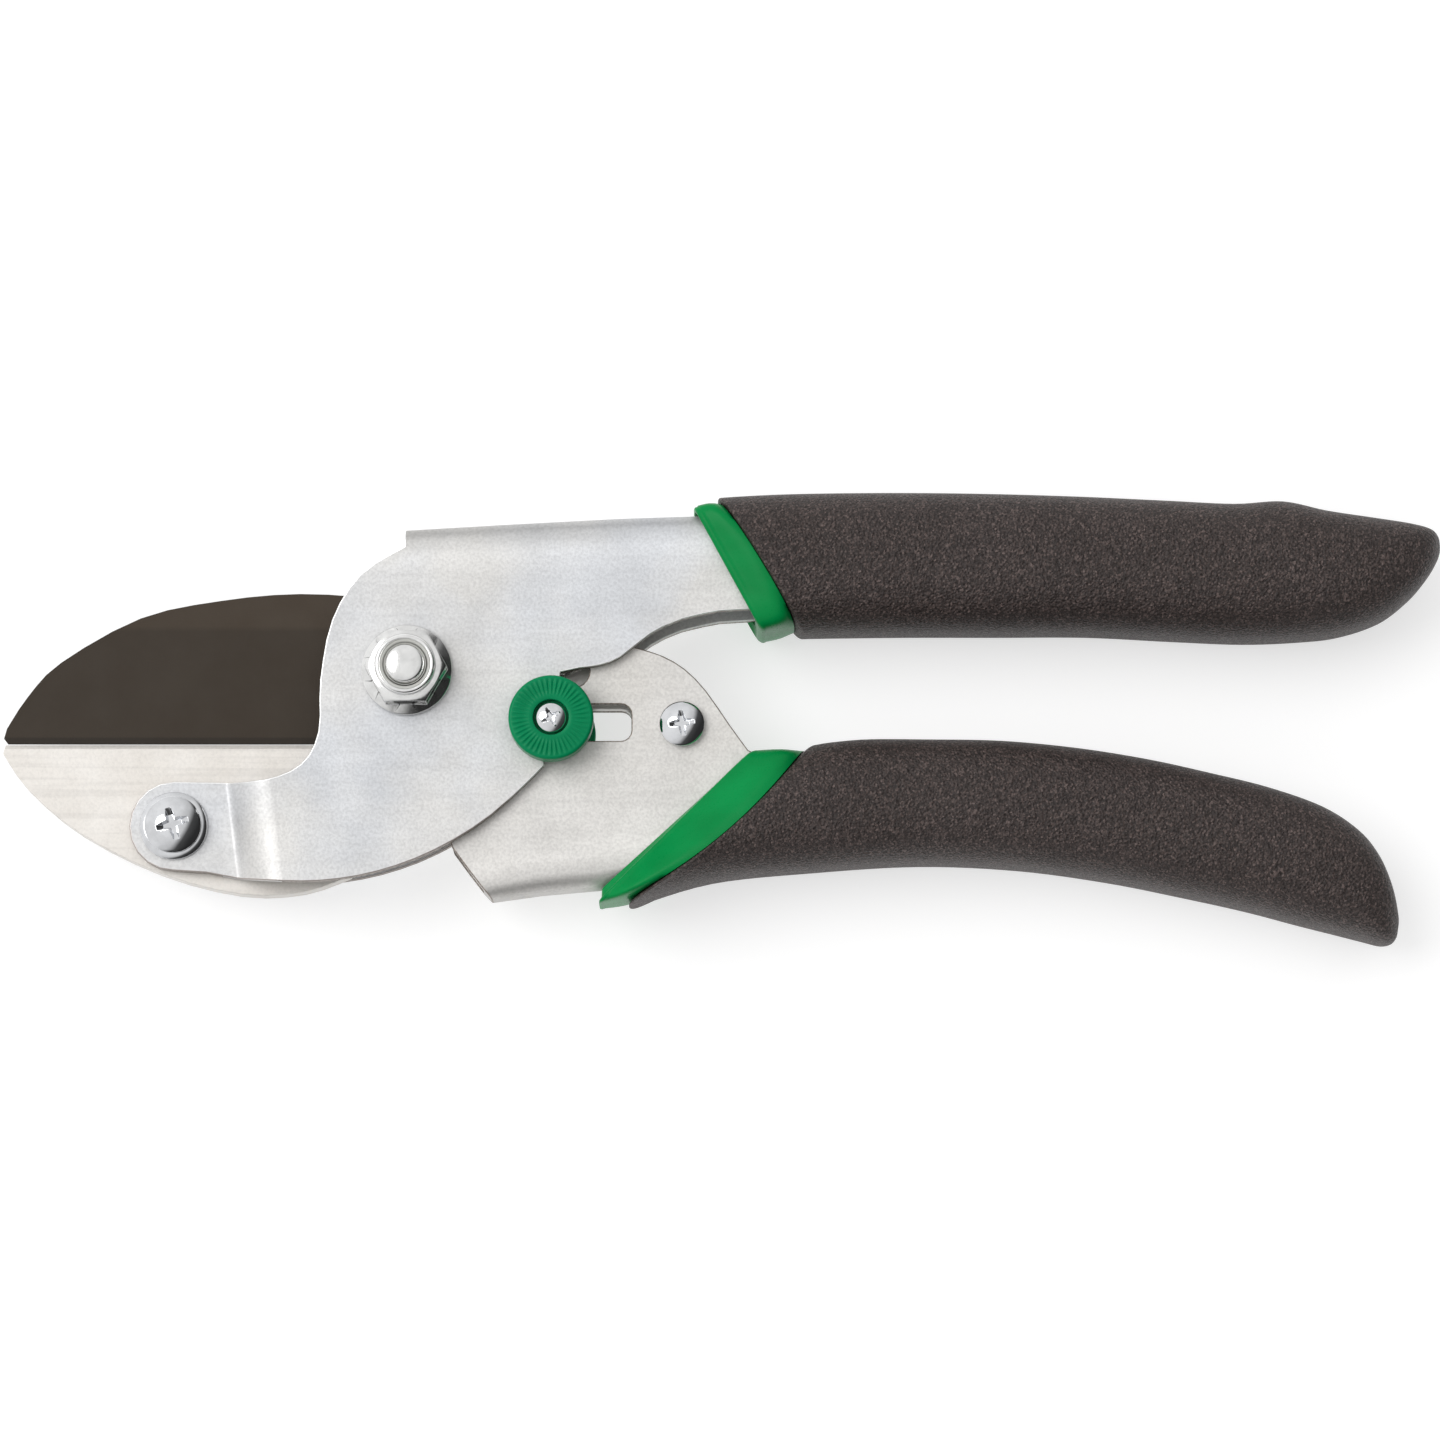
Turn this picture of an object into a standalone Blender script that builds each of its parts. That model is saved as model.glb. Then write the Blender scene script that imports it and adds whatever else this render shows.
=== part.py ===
"""Anvil pruning shears with pressed-steel handles, a thumb lock and soft grips.

The tool lies on its back. +X runs along the handles, +Y points to the upper handle and
+Z points out of the front wall. The origin is on the pivot axis, on the plane that the
tool rests on, which is the face of the pivot bolt's head.

Shapes are drawn in millimetres and scaled to metres as the last step of each piece.
"""
import math

import bmesh
import bpy
from mathutils import Matrix, Vector

METRES_PER_MM = 0.001

# Clearance that neighbouring pieces keep to each other
GAP = 0.3

# Overall reach along X, from the pivot axis
BLADE_REACH = 57.3
GRIP_REACH = 145.9

# The outlines below are drawn for these reaches. Ahead of FORE_START and behind AFT_START
# they stretch when a reach changes.
DRAWN_BLADE_REACH = 57.3
DRAWN_GRIP_REACH = 145.9
FORE_START = -12.5
AFT_START = 60.0

# Sheet metal
UPPER_SHEET = 1.5
LOWER_SHEET = 1.5
FOLD_RADIUS = 2.2

# Blade and anvil
BLADE_THICKNESS = 2.0
EDGE_THICKNESS = 0.4
EDGE_Y = -9.4
GRIND_TOP_Y = 7.0
GRIND_END_X = -8.5
ANVIL_THICKNESS = 4.0
ANVIL_LIP = 0.6
ANVIL_HEEL_X = -8.0
TANG_END_RADIUS = 5.4

# Pivot
BOLT_DIAMETER = 6.0
BOLT_HEAD_FLATS = 10.0
BOLT_END_CHAMFER = 0.8
BUSHING_DIAMETER = 9.0
PIVOT_LOBE_WALL = 4.2
FLANGE_DIAMETER = 12.8
FLANGE_HEIGHT = 1.4
NUT_FLATS = 10.0
NUT_HEX_HEIGHT = 3.4
NUT_COLLAR_DIAMETER = 8.6
NUT_COLLAR_HEIGHT = 1.8
NUT_COLLAR_WALL = 0.4
NUT_NECK_SHARE = 0.9
FLANGE_RIM_SHARE = 0.4
FLANGE_TOP_SHARE = 0.8
BOLT_STICK_OUT = 0.8

# Torsion spring
WIRE = 1.1
WIRE_END_RISE = 2.2
WIRE_BEND_SHARE = 0.3
COIL_PITCH = 1.25
WHOLE_TURNS = 1
UPPER_LEG_X = 20.0
LOWER_LEG_HOLE = (23.3, 0.2)
LEG_HOLE_DIAMETER = 4.6

# Anvil screw and blade screw
ANVIL_SCREW_AT = (-32.8, -21.5)
ANVIL_SCREW_DIAMETER = 4.0
ANVIL_SCREW_HEAD = 8.0
ANVIL_WASHER_DIAMETER = 9.6
ANVIL_WASHER_THICKNESS = 0.6
ANVIL_SCREW_HEAD_HEIGHT = 2.5
ARM_END_RADIUS = 6.3
BACK_WALL_TRIM = 0.9
BEND_LEAN = math.radians(7.5)
BEND_LINES_THROUGH = ((-18.1, -21.5), (-24.8, -22.4))
BEND_STOPS = ((0.0, 0.0), (0.15, 0.07), (0.85, 0.93), (1.0, 1.0))
BLADE_SCREW_DIAMETER = 3.5
BLADE_SCREW_HEAD = 6.3
BLADE_SCREW_HEAD_HEIGHT = 2.0
BLADE_NUT_FLATS = 6.0
SPACER_DIAMETER = 7.0
SMALL_NUT_FLATS = 7.0
SMALL_NUT_HEIGHT = 2.4
RECESS_DEPTH = 1.1
RECESS_WIDTH = 0.8
PAN_HEAD_SHARES = ((1.0, 0.0), (1.0, 0.45), (0.85, 0.8), (0.55, 1.0))

# Thumb lock
LOCK_AT = (20.3, -7.1)
LOCK_TRAVEL = 8.6
PIN_DIAMETER = 4.6
KNOB_DIAMETER = 11.9
KNOB_THICKNESS = 3.7
KNOB_CHAMFER = 0.45
KNOB_FLOOR = 1.2
KNOB_WELL_DIAMETER = 5.0
KNOB_WELL_DEPTH = 1.6
LOCK_SCREW_DIAMETER = 2.5
LOCK_SCREW_HEAD = 4.3
LOCK_SCREW_HEAD_HEIGHT = 1.5
SLOT_CORNER = 1.5

# The blade screw stands just clear of the knob's travel
BLADE_SCREW_AT = (LOCK_AT[0] + LOCK_TRAVEL + (KNOB_DIAMETER + BLADE_SCREW_HEAD) / 2 + 2 * GAP, -7.4)

# Handles
OPEN_ANGLE = math.radians(30)
SLEEVE_THICKNESS = 2.0
COVER_THICKNESS = 1.4
COLLAR_STEP = 0.9
COLLAR_FRONT_WALL = 1.6
GRIP_SQUARENESS = 3.2

# Facets
ROUND_SEGMENTS = 32
SMALL_SEGMENTS = 20
WIRE_SIDES = 8
COIL_STEPS = 34
SWEEP_STEPS = 8
SHARP_ANGLE = math.radians(35)
GRIP_SIDES = 24
BEYOND = 3.0
FAR_BEYOND = 60.0


# ---- drawing in the plane ----

def stretched(points):
    """Moves drawn points ahead of the jaws' start or behind the grips' start to the set reaches."""
    fore = (BLADE_REACH + FORE_START) / (DRAWN_BLADE_REACH + FORE_START)
    aft = (GRIP_REACH - AFT_START) / (DRAWN_GRIP_REACH - AFT_START)
    moved = []
    for x, y in points:
        if x < FORE_START:
            x = FORE_START + (x - FORE_START) * fore
        elif x > AFT_START:
            x = AFT_START + (x - AFT_START) * aft
        moved.append((x, y))
    return moved


def arc(centre, radius, start, end, steps):
    """Points on an arc, its angles in degrees."""
    points = []
    for step in range(steps + 1):
        angle = math.radians(start + (end - start) * step / steps)
        points.append((centre[0] + radius * math.cos(angle), centre[1] + radius * math.sin(angle)))
    return points


def curve_through(points, steps=3):
    """Smooth curve through the points, with a number of steps between each two."""
    ends = [points[0]] + list(points) + [points[-1]]
    curve = []
    for before, first, second, after in zip(ends, ends[1:], ends[2:], ends[3:]):
        for step in range(steps):
            t = step / steps
            curve.append(tuple(
                0.5 * (2 * q + (r - p) * t + (2 * p - 5 * q + 4 * r - s) * t * t
                       + (3 * q - p - 3 * r + s) * t ** 3)
                for p, q, r, s in zip(before, first, second, after)))
    curve.append(tuple(points[-1]))
    return curve


def offset(points, distance, closed=False):
    """The line moved to its left by a distance; a closed line joins its last point to its first."""
    count = len(points)
    moved = []
    for index, point in enumerate(points):
        here = Vector(point)
        before = Vector(points[index - 1])
        after = Vector(points[(index + 1) % count])
        arriving = (here - before).normalized()
        leaving = (after - here).normalized()
        if not closed and index == 0:
            arriving = leaving
        if not closed and index == count - 1:
            leaving = arriving
        run = (arriving + leaving).normalized()
        left = Vector((-run.y, run.x))
        spread = max(run.dot(arriving), 0.5)
        moved.append(tuple(here + left * (distance / spread)))
    return moved


def signed_area(outline):
    """Area of an outline, positive where it runs anticlockwise."""
    return sum(a[0] * b[1] - b[0] * a[1] for a, b in zip(outline, outline[1:] + outline[:1])) / 2


def rounded_box_outline(left, right, low, high, corner, steps=4):
    """Rectangle with round corners."""
    outline = arc((right - corner, low + corner), corner, -90, 0, steps)
    outline += arc((right - corner, high - corner), corner, 0, 90, steps)
    outline += arc((left + corner, high - corner), corner, 90, 180, steps)
    outline += arc((left + corner, low + corner), corner, 180, 270, steps)
    return outline


def hexagon(centre, flats, turn=0.0):
    """Hexagon across its flats; unturned, two of its flats are level."""
    radius = flats / math.sqrt(3)
    return arc(centre, radius, turn, turn + 300, 5)


def cross_outline(centre, reach, width):
    """Plus sign for a cross recess."""
    half = width / 2
    corner = [(reach, -half), (reach, half), (half, half)]
    outline = []
    for quarter in range(4):
        turn = Matrix.Rotation(quarter * math.pi / 2, 2)
        outline += [tuple(Vector(centre) + turn @ Vector(point)) for point in corner]
    return outline


# ---- lines and heights that several pieces share ----

# Outer edge of each handle's spine, and the lower edge of the upper handle's front wall
UPPER_SPINE = stretched([(-0.5, 20.3), (12.9, 21.1), (29.8, 22.0), (42.0, 22.4), (60.0, 22.5),
                         (90.0, 22.2), (110.0, 21.3), (122.0, 20.9)])
LOWER_SPINE = stretched([(11.9, -31.9), (19.0, -30.9), (27.0, -30.2), (35.0, -28.7), (44.0, -26.6),
                         (56.0, -24.4), (72.0, -23.6), (90.0, -24.7), (104.0, -26.9), (116.0, -29.5)])

BELLY = curve_through([(-28.0, -28.1), (-20.0, -29.5), (-12.0, -29.7), (-4.0, -28.4),
                       (4.0, -25.4), (12.0, -20.4), (19.8, -13.0)])


def height_on(line, x):
    """Y of an open line of points at an x."""
    for (x0, y0), (x1, y1) in zip(line, line[1:]):
        if x0 <= x <= x1:
            return y0 + (y1 - y0) * (x - x0) / (x1 - x0)
    raise ValueError("x is beyond the line")


def touch_angle(place, radius, side):
    """Angle on a circle about the pivot where a line from a place just touches it."""
    distance = math.hypot(*place)
    return math.atan2(place[1], place[0]) + side * math.acos(radius / distance)


# The spring winds round the bushing. Its upper leg ends under the upper spine, its lower leg in
# a hole of the lower handle.
COIL_RADIUS = BUSHING_DIAMETER / 2 + 2 * GAP + WIRE / 2
UPPER_LEG_END = (UPPER_LEG_X, height_on(UPPER_SPINE, UPPER_LEG_X) - UPPER_SHEET - 2 * GAP - WIRE / 2)
COIL_START = touch_angle(UPPER_LEG_END, COIL_RADIUS, 1)
COIL_END = touch_angle(LOWER_LEG_HOLE, COIL_RADIUS, -1) + 2 * math.pi * (1 + WHOLE_TURNS)

# Heights above the rest plane, worked out from the inside of the tool to the outside
SPRING_LENGTH = COIL_PITCH * (COIL_END - COIL_START) / (2 * math.pi) + WIRE
LOWER_INSIDE = GAP + BLADE_THICKNESS + GAP + SPRING_LENGTH + GAP
LOWER_WIDTH = LOWER_INSIDE + 2 * LOWER_SHEET
UPPER_INSIDE = LOWER_WIDTH + 2 * GAP
UPPER_WIDTH = UPPER_INSIDE + 2 * UPPER_SHEET
GRIP_THICKNESS = UPPER_WIDTH + 2 * (GAP + SLEEVE_THICKNESS + GAP + COVER_THICKNESS)
MIDDLE = GRIP_THICKNESS / 2

UPPER_BACK = MIDDLE - UPPER_WIDTH / 2
UPPER_FRONT = MIDDLE + UPPER_WIDTH / 2
LOWER_BACK = MIDDLE - LOWER_WIDTH / 2
LOWER_FRONT = MIDDLE + LOWER_WIDTH / 2
BLADE_BACK = LOWER_BACK + LOWER_SHEET + GAP
BLADE_FRONT = BLADE_BACK + BLADE_THICKNESS
BLADE_MIDDLE = (BLADE_BACK + BLADE_FRONT) / 2
SPRING_BACK = BLADE_FRONT + GAP
SPRING_FRONT = SPRING_BACK + SPRING_LENGTH
ANVIL_BACK = BLADE_MIDDLE - ANVIL_THICKNESS / 2
ANVIL_FRONT = BLADE_MIDDLE + ANVIL_THICKNESS / 2
FRONT_ARM_OUTER = ANVIL_FRONT + GAP + UPPER_SHEET
BACK_ARM_OUTER = ANVIL_BACK - GAP - UPPER_SHEET
PIN_RUN = PIN_DIAMETER / 2 + GAP


# ---- solids ----

def prism(outline, low, high):
    """Outline pushed from one height to another."""
    mesh = bmesh.new()
    face = mesh.faces.new([mesh.verts.new((x, y, low)) for x, y in outline])
    pushed = bmesh.ops.extrude_face_region(mesh, geom=[face])
    top = [item for item in pushed["geom"] if isinstance(item, bmesh.types.BMVert)]
    bmesh.ops.translate(mesh, verts=top, vec=(0, 0, high - low))
    bmesh.ops.recalc_face_normals(mesh, faces=mesh.faces)
    return mesh


def join_rows(mesh, first, second):
    """Faces between two closed rows of vertices; a row of one vertex makes a fan."""
    count = max(len(first), len(second))
    for index in range(count):
        following = (index + 1) % count
        corners = []
        for vertex in (first[index % len(first)], first[following % len(first)],
                       second[following % len(second)], second[index % len(second)]):
            if vertex not in corners:
                corners.append(vertex)
        mesh.faces.new(corners)


def turned(profile, centre=(0.0, 0.0), segments=ROUND_SEGMENTS, ring=False):
    """Profile of (radius, height) points turned about an upright axis. A ring's profile is closed."""
    mesh = bmesh.new()
    rows = []
    for radius, height in profile:
        if radius == 0:
            rows.append([mesh.verts.new((centre[0], centre[1], height))])
            continue
        circle = arc(centre, radius, 0, 360 * (segments - 1) / segments, segments - 1)
        rows.append([mesh.verts.new((x, y, height)) for x, y in circle])
    following = rows[1:] + rows[:1] if ring else rows[1:]
    for first, second in zip(rows, following):
        join_rows(mesh, first, second)
    bmesh.ops.recalc_face_normals(mesh, faces=mesh.faces)
    return mesh


def rod(centre, diameter, low, high, segments=SMALL_SEGMENTS):
    """Plain round bar, also used to bore holes."""
    radius = diameter / 2
    return turned([(0, low), (radius, low), (radius, high), (0, high)], centre, segments)


def tube(centre, outer, inner, low, high, segments=ROUND_SEGMENTS):
    """Round tube or washer."""
    profile = [(inner / 2, low), (outer / 2, low), (outer / 2, high), (inner / 2, high)]
    return turned(profile, centre, segments, ring=True)


def lofted(rings):
    """Skin through rings of points, with both ends closed."""
    mesh = bmesh.new()
    rows = [[mesh.verts.new(point) for point in ring] for ring in rings]
    for first, second in zip(rows, rows[1:]):
        join_rows(mesh, first, second)
    mesh.faces.new(rows[0])
    mesh.faces.new(rows[-1])
    bmesh.ops.recalc_face_normals(mesh, faces=mesh.faces)
    return mesh


def to_object(mesh):
    data = bpy.data.meshes.new("shape")
    mesh.to_mesh(data)
    mesh.free()
    shape = bpy.data.objects.new("shape", data)
    bpy.context.scene.collection.objects.link(shape)
    return shape


def combined(mesh, other, operation):
    """Boolean of two solids, which are both used up."""
    body = to_object(mesh)
    tool = to_object(other)
    modifier = body.modifiers.new("combine", "BOOLEAN")
    modifier.operation = operation
    modifier.solver = "EXACT"
    modifier.object = tool
    evaluated = body.evaluated_get(bpy.context.evaluated_depsgraph_get())
    result = bmesh.new()
    result.from_mesh(evaluated.to_mesh())
    evaluated.to_mesh_clear()
    for shape in (body, tool):
        bpy.data.objects.remove(shape)
    return result


def cut(mesh, *tools):
    for tool in tools:
        mesh = combined(mesh, tool, "DIFFERENCE")
    return mesh


def fused(mesh, *others):
    for other in others:
        mesh = combined(mesh, other, "UNION")
    return mesh


def rounded_along(mesh, line, height, radius, steps):
    """Rounds the edges that follow a line of outline points at one height."""
    places = [Vector((x, y, height)) for x, y in line]

    def on_line(vertex):
        return any((vertex.co - place).length < GAP / 10 for place in places)

    edges = [edge for edge in mesh.edges if all(on_line(vertex) for vertex in edge.verts)]
    bmesh.ops.bevel(mesh, geom=edges, offset=radius, segments=steps, profile=0.5, affect="EDGES")
    return mesh


# ---- sheet-metal handles ----

def upper_wall_outline():
    """Side of the upper handle: spine, nose, anvil arm, belly, and the tail inside the grip."""
    nose = curve_through([(-0.5, 17.7), (-6.7, 13.7), (-10.6, 7.2), (-12.2, -1.3), (-12.4, -8.6),
                          (-14.8, -13.2), (-20.0, -15.4), (-26.5, -15.3)])
    arm_end = arc(ANVIL_SCREW_AT, ARM_END_RADIUS, 90, 270, 10)
    lock_side = [(20.9, -10.0), (21.5, -0.2)]
    throat = curve_through([(24.3, 0.4), (27.1, 0.8), (29.9, 1.9), (34.1, 5.2), (38.5, 7.3),
                            (43.9, 8.5)], 2)
    tail = [(52.0, 9.0), (60.0, 10.4), (100.0, 10.2), (112.0, 9.8), (122.0, 11.0)]
    return UPPER_SPINE[::-1] + stretched(nose + arm_end + BELLY + lock_side + throat + tail)


def lower_wall_outline():
    """Side of the lower handle: spine, tail inside the grip, shoulder, pivot lobe and toe."""
    tail = [(118.0, -20.4), (106.0, -17.2), (92.0, -14.6), (75.0, -13.4), (58.0, -13.4), (51.0, -12.4)]
    shoulder = curve_through([(47.9, -11.0), (45.3, -7.4), (42.0, -2.6), (39.0, 0.5), (35.8, 2.4),
                              (32.0, 3.6), (24.0, 6.0), (14.0, 8.2)], 2)
    lobe = arc((0.0, 0.0), BUSHING_DIAMETER / 2 + GAP + PIVOT_LOBE_WALL, 85, 285, 12)
    toe = [(4.2, -18.0), (6.4, -24.8), (8.9, -28.2), (10.6, -30.4)]
    return LOWER_SPINE + stretched(tail + shoulder + lobe + toe)


def channel(outline, spine, open_side, back, front, sheet):
    """Outline pushed to the full width, with its spine's edges rounded and its inside cut out.

    The channel opens to +Y where open_side is 1, and to -Y where it is -1.
    """
    mesh = prism(outline, back, front)
    for height in (back, front):
        rounded_along(mesh, spine, height, FOLD_RADIUS, 3)
    inner = offset(spine, open_side * sheet)
    ahead = (inner[0][0] - BLADE_REACH - GRIP_REACH, inner[0][1])
    behind = (inner[-1][0] + BEYOND, inner[-1][1])
    line = [ahead] + inner + [behind]
    far_side = open_side * GRIP_REACH
    pocket = prism(line + [(behind[0], far_side), (ahead[0], far_side)], back + sheet, front - sheet)
    for height in (back + sheet, front - sheet):
        rounded_along(pocket, line, height, FOLD_RADIUS - sheet, 2)
    return cut(mesh, pocket)


def nose_cutter():
    """Space ahead of the upper spine, where the channel is open at the top."""
    start = UPPER_SPINE[0]
    ahead = start[0] - BLADE_REACH
    below = start[1] - FAR_BEYOND
    outline = [(start[0], start[1] + BEYOND), (ahead, start[1] + BEYOND), (ahead, below), (start[0], below)]
    return prism(outline, UPPER_BACK + UPPER_SHEET, UPPER_FRONT - UPPER_SHEET)


def lock_notch():
    """Space that the lock pin sweeps through both upper walls as the handles open."""
    centres = []
    for step in range(SWEEP_STEPS + 1):
        share = step / SWEEP_STEPS
        slid = Vector((LOCK_AT[0] + LOCK_TRAVEL * share, LOCK_AT[1]))
        centres.append(Matrix.Rotation(-OPEN_ANGLE * share, 2) @ slid)
    left_side = []
    for before, after in zip(centres, centres[1:]):
        run = (after - before).normalized()
        left_side.append(before + PIN_RUN * Vector((run.y, -run.x)))
    run = (centres[1] - centres[0]).normalized()
    start = math.degrees(math.atan2(-run.x, run.y)) % 360
    cap = arc(LOCK_AT, PIN_RUN, 90, start, SWEEP_STEPS)
    last = left_side[-1]
    below = last.y - FAR_BEYOND
    behind = last.x + FAR_BEYOND
    outline = cap + [tuple(point) for point in left_side[1:]]
    outline += [(last.x, below), (behind, below), (behind, cap[0][1])]
    return prism(outline, UPPER_BACK - BEYOND, UPPER_FRONT + BEYOND)


def bend_arms(mesh):
    """Presses both arms inwards to the anvil, over a sloping strip between two bends."""
    ahead = Vector((-math.cos(BEND_LEAN), -math.sin(BEND_LEAN), 0))
    starts = stretched(BEND_LINES_THROUGH)
    first = ahead.dot(Vector((*starts[0], 0)))
    last = ahead.dot(Vector((*starts[1], 0)))
    places = [(first + (last - first) * share, drop) for share, drop in BEND_STOPS]
    for place, _ in places:
        everything = mesh.verts[:] + mesh.edges[:] + mesh.faces[:]
        bmesh.ops.bisect_plane(mesh, geom=everything, plane_co=ahead * place, plane_no=ahead)
    for vertex in mesh.verts:
        along = ahead.dot(vertex.co)
        share = 0.0
        for (start, low), (end, high) in zip(places, places[1:]):
            if along > start:
                share = low + (high - low) * min((along - start) / (end - start), 1.0)
        if vertex.co.z > MIDDLE:
            vertex.co.z -= share * (UPPER_FRONT - FRONT_ARM_OUTER)
        else:
            vertex.co.z += share * (BACK_ARM_OUTER - UPPER_BACK)
    return mesh


def back_wall_trim():
    """The back wall is cut a little shorter along the belly than the front wall."""
    edge = stretched([(x, y + BACK_WALL_TRIM) for x, y in BELLY])
    below = edge[0][1] - BLADE_REACH
    outline = edge + [(edge[-1][0], below), (edge[0][0], below)]
    return prism(outline, UPPER_BACK - BEYOND, MIDDLE)


def upper_frame():
    mesh = channel(upper_wall_outline(), UPPER_SPINE, -1, UPPER_BACK, UPPER_FRONT, UPPER_SHEET)
    anvil_screw_at = stretched([ANVIL_SCREW_AT])[0]
    mesh = cut(mesh,
               nose_cutter(),
               back_wall_trim(),
               lock_notch(),
               rod((0, 0), BOLT_DIAMETER + 2 * GAP, UPPER_BACK - BEYOND, UPPER_FRONT + BEYOND),
               rod(anvil_screw_at, ANVIL_SCREW_DIAMETER + 2 * GAP,
                   UPPER_BACK - BEYOND, UPPER_FRONT + BEYOND))
    return bend_arms(mesh)


def slot_outline():
    """Long hole that the lock pin slides in."""
    return rounded_box_outline(LOCK_AT[0] - PIN_RUN, LOCK_AT[0] + LOCK_TRAVEL + PIN_RUN,
                               LOCK_AT[1] - PIN_RUN, LOCK_AT[1] + PIN_RUN, SLOT_CORNER)


def lower_frame():
    mesh = channel(lower_wall_outline(), LOWER_SPINE, 1, LOWER_BACK, LOWER_FRONT, LOWER_SHEET)
    low = LOWER_BACK - BEYOND
    high = LOWER_FRONT + BEYOND
    return cut(mesh,
               prism(slot_outline(), low, high),
               rod((0, 0), BUSHING_DIAMETER + 2 * GAP, low, high, ROUND_SEGMENTS),
               rod(BLADE_SCREW_AT, BLADE_SCREW_DIAMETER + 2 * GAP, low, high),
               rod(LOWER_LEG_HOLE, LEG_HOLE_DIAMETER, SPRING_FRONT, high))


# ---- blade and anvil ----

def blade_outline():
    edge = [(-56.7, EDGE_Y), (-8.0, EDGE_Y), (2.0, -12.0), (20.0, -12.8)]
    tang_end = arc(BLADE_SCREW_AT, TANG_END_RADIUS, -90, 90, 8)
    tang_top = curve_through([(28.0, 0.4), (16.0, 4.6), (6.0, 9.2), (-4.0, 11.2), (-15.5, 12.0),
                              (-26.8, 11.0), (-38.1, 8.5), (-49.3, 2.2), (-54.0, -2.7),
                              (-56.9, -7.2)])
    return stretched(edge + tang_end + tang_top + [(-57.3, -8.6)])


def grind(side):
    """Wedge that is ground off one side of the blade, down to the edge."""
    face = BLADE_MIDDLE + side * BLADE_THICKNESS / 2
    slope = (BLADE_THICKNESS - EDGE_THICKNESS) / 2 / (GRIND_TOP_Y - EDGE_Y)
    low_y = EDGE_Y - BEYOND
    low_face = face - side * slope * (GRIND_TOP_Y - low_y)
    high_y = GRIND_TOP_Y + BEYOND
    high_face = face + side * slope * BEYOND
    outside = face + side * BEYOND
    section = [(low_y, low_face), (high_y, high_face), (high_y, outside), (low_y, outside)]
    rings = []
    for x in (-BLADE_REACH - BEYOND, GRIND_END_X):
        rings.append([(x, y, z) for y, z in section])
    return lofted(rings)


def blade():
    low = BLADE_BACK - BEYOND
    high = BLADE_FRONT + BEYOND
    return cut(prism(blade_outline(), BLADE_BACK, BLADE_FRONT),
               grind(1),
               grind(-1),
               prism(slot_outline(), low, high),
               rod((0, 0), BUSHING_DIAMETER + 2 * GAP, low, high, ROUND_SEGMENTS),
               rod(BLADE_SCREW_AT, BLADE_SCREW_DIAMETER + 2 * GAP, low, high))


def anvil():
    """Soft plate that the blade closes on, with a lip rounded off along its top."""
    top = EDGE_Y - GAP
    belly = curve_through([(-57.2, -11.0), (-53.6, -16.1), (-46.0, -22.4), (-34.7, -28.0),
                           (-23.4, -30.9), (-14.5, -30.6), (ANVIL_HEEL_X, -28.3)])
    top_line = [(ANVIL_HEEL_X, top), (-56.9, top)]
    outline = stretched(top_line + belly)
    mesh = prism(outline, ANVIL_BACK, ANVIL_FRONT)
    for height in (ANVIL_BACK, ANVIL_FRONT):
        rounded_along(mesh, stretched(top_line), height, ANVIL_LIP, 1)
    hole = rod(stretched([ANVIL_SCREW_AT])[0], ANVIL_SCREW_DIAMETER + 2 * GAP,
               ANVIL_BACK - BEYOND, ANVIL_FRONT + BEYOND)
    return cut(mesh, hole)


# ---- fasteners ----

def recess(centre, top, reach):
    """Cross recess in the top of a screw head."""
    return prism(cross_outline(centre, reach, RECESS_WIDTH), top - RECESS_DEPTH, top + BEYOND)


def pan_screw(centre, seat, end, diameter, head_diameter, head_height):
    """Pan-head screw: its head stands on a seat, and its shank runs down to an end."""
    radius = diameter / 2
    head = head_diameter / 2
    dome = [(head * across, seat + head_height * up) for across, up in PAN_HEAD_SHARES]
    profile = [(0, end), (radius, end), (radius, seat)] + dome + [(0, dome[-1][1])]
    mesh = turned(profile, centre, SMALL_SEGMENTS)
    return cut(mesh, recess(centre, seat + head_height, dome[-1][0]))


def hex_nut(centre, flats, bore, low, high):
    mesh = prism(hexagon(centre, flats, turn=30), low, high)
    return cut(mesh, rod(centre, bore, low - BEYOND, high + BEYOND))


def pivot_bolt():
    head_top = UPPER_BACK - GAP
    radius = BOLT_DIAMETER / 2
    end = nut_top() + BOLT_STICK_OUT
    shank = turned([(0, head_top - GAP), (radius, head_top - GAP), (radius, end - BOLT_END_CHAMFER),
                    (radius - BOLT_END_CHAMFER, end), (0, end)], (0, 0), ROUND_SEGMENTS)
    return fused(prism(hexagon((0, 0), BOLT_HEAD_FLATS), 0, head_top), shank)


def nut_base():
    return UPPER_FRONT + GAP


def nut_top():
    return nut_base() + FLANGE_HEIGHT + NUT_HEX_HEIGHT + NUT_COLLAR_HEIGHT


def pivot_nut():
    """Flanged lock nut: flange, hexagon, and a round collar that holds the nylon ring."""
    base = nut_base()
    hex_top = base + FLANGE_HEIGHT + NUT_HEX_HEIGHT
    flange = FLANGE_DIAMETER / 2
    collar = NUT_COLLAR_DIAMETER / 2
    neck = collar * NUT_NECK_SHARE
    mesh = turned([(0, base), (flange, base), (flange, base + FLANGE_HEIGHT * FLANGE_RIM_SHARE),
                   (flange * FLANGE_TOP_SHARE, base + FLANGE_HEIGHT), (neck, base + FLANGE_HEIGHT),
                   (neck, hex_top), (collar, hex_top), (collar, nut_top() - GAP),
                   (collar - GAP, nut_top()), (0, nut_top())])
    mesh = fused(mesh, prism(hexagon((0, 0), NUT_FLATS), base + FLANGE_HEIGHT / 2, hex_top))
    return cut(mesh,
               rod((0, 0), BOLT_DIAMETER + 2 * GAP, base - BEYOND, nut_top() + BEYOND, ROUND_SEGMENTS),
               rod((0, 0), NUT_COLLAR_DIAMETER - 2 * NUT_COLLAR_WALL, hex_top + GAP,
                   nut_top() + BEYOND, ROUND_SEGMENTS))


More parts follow.
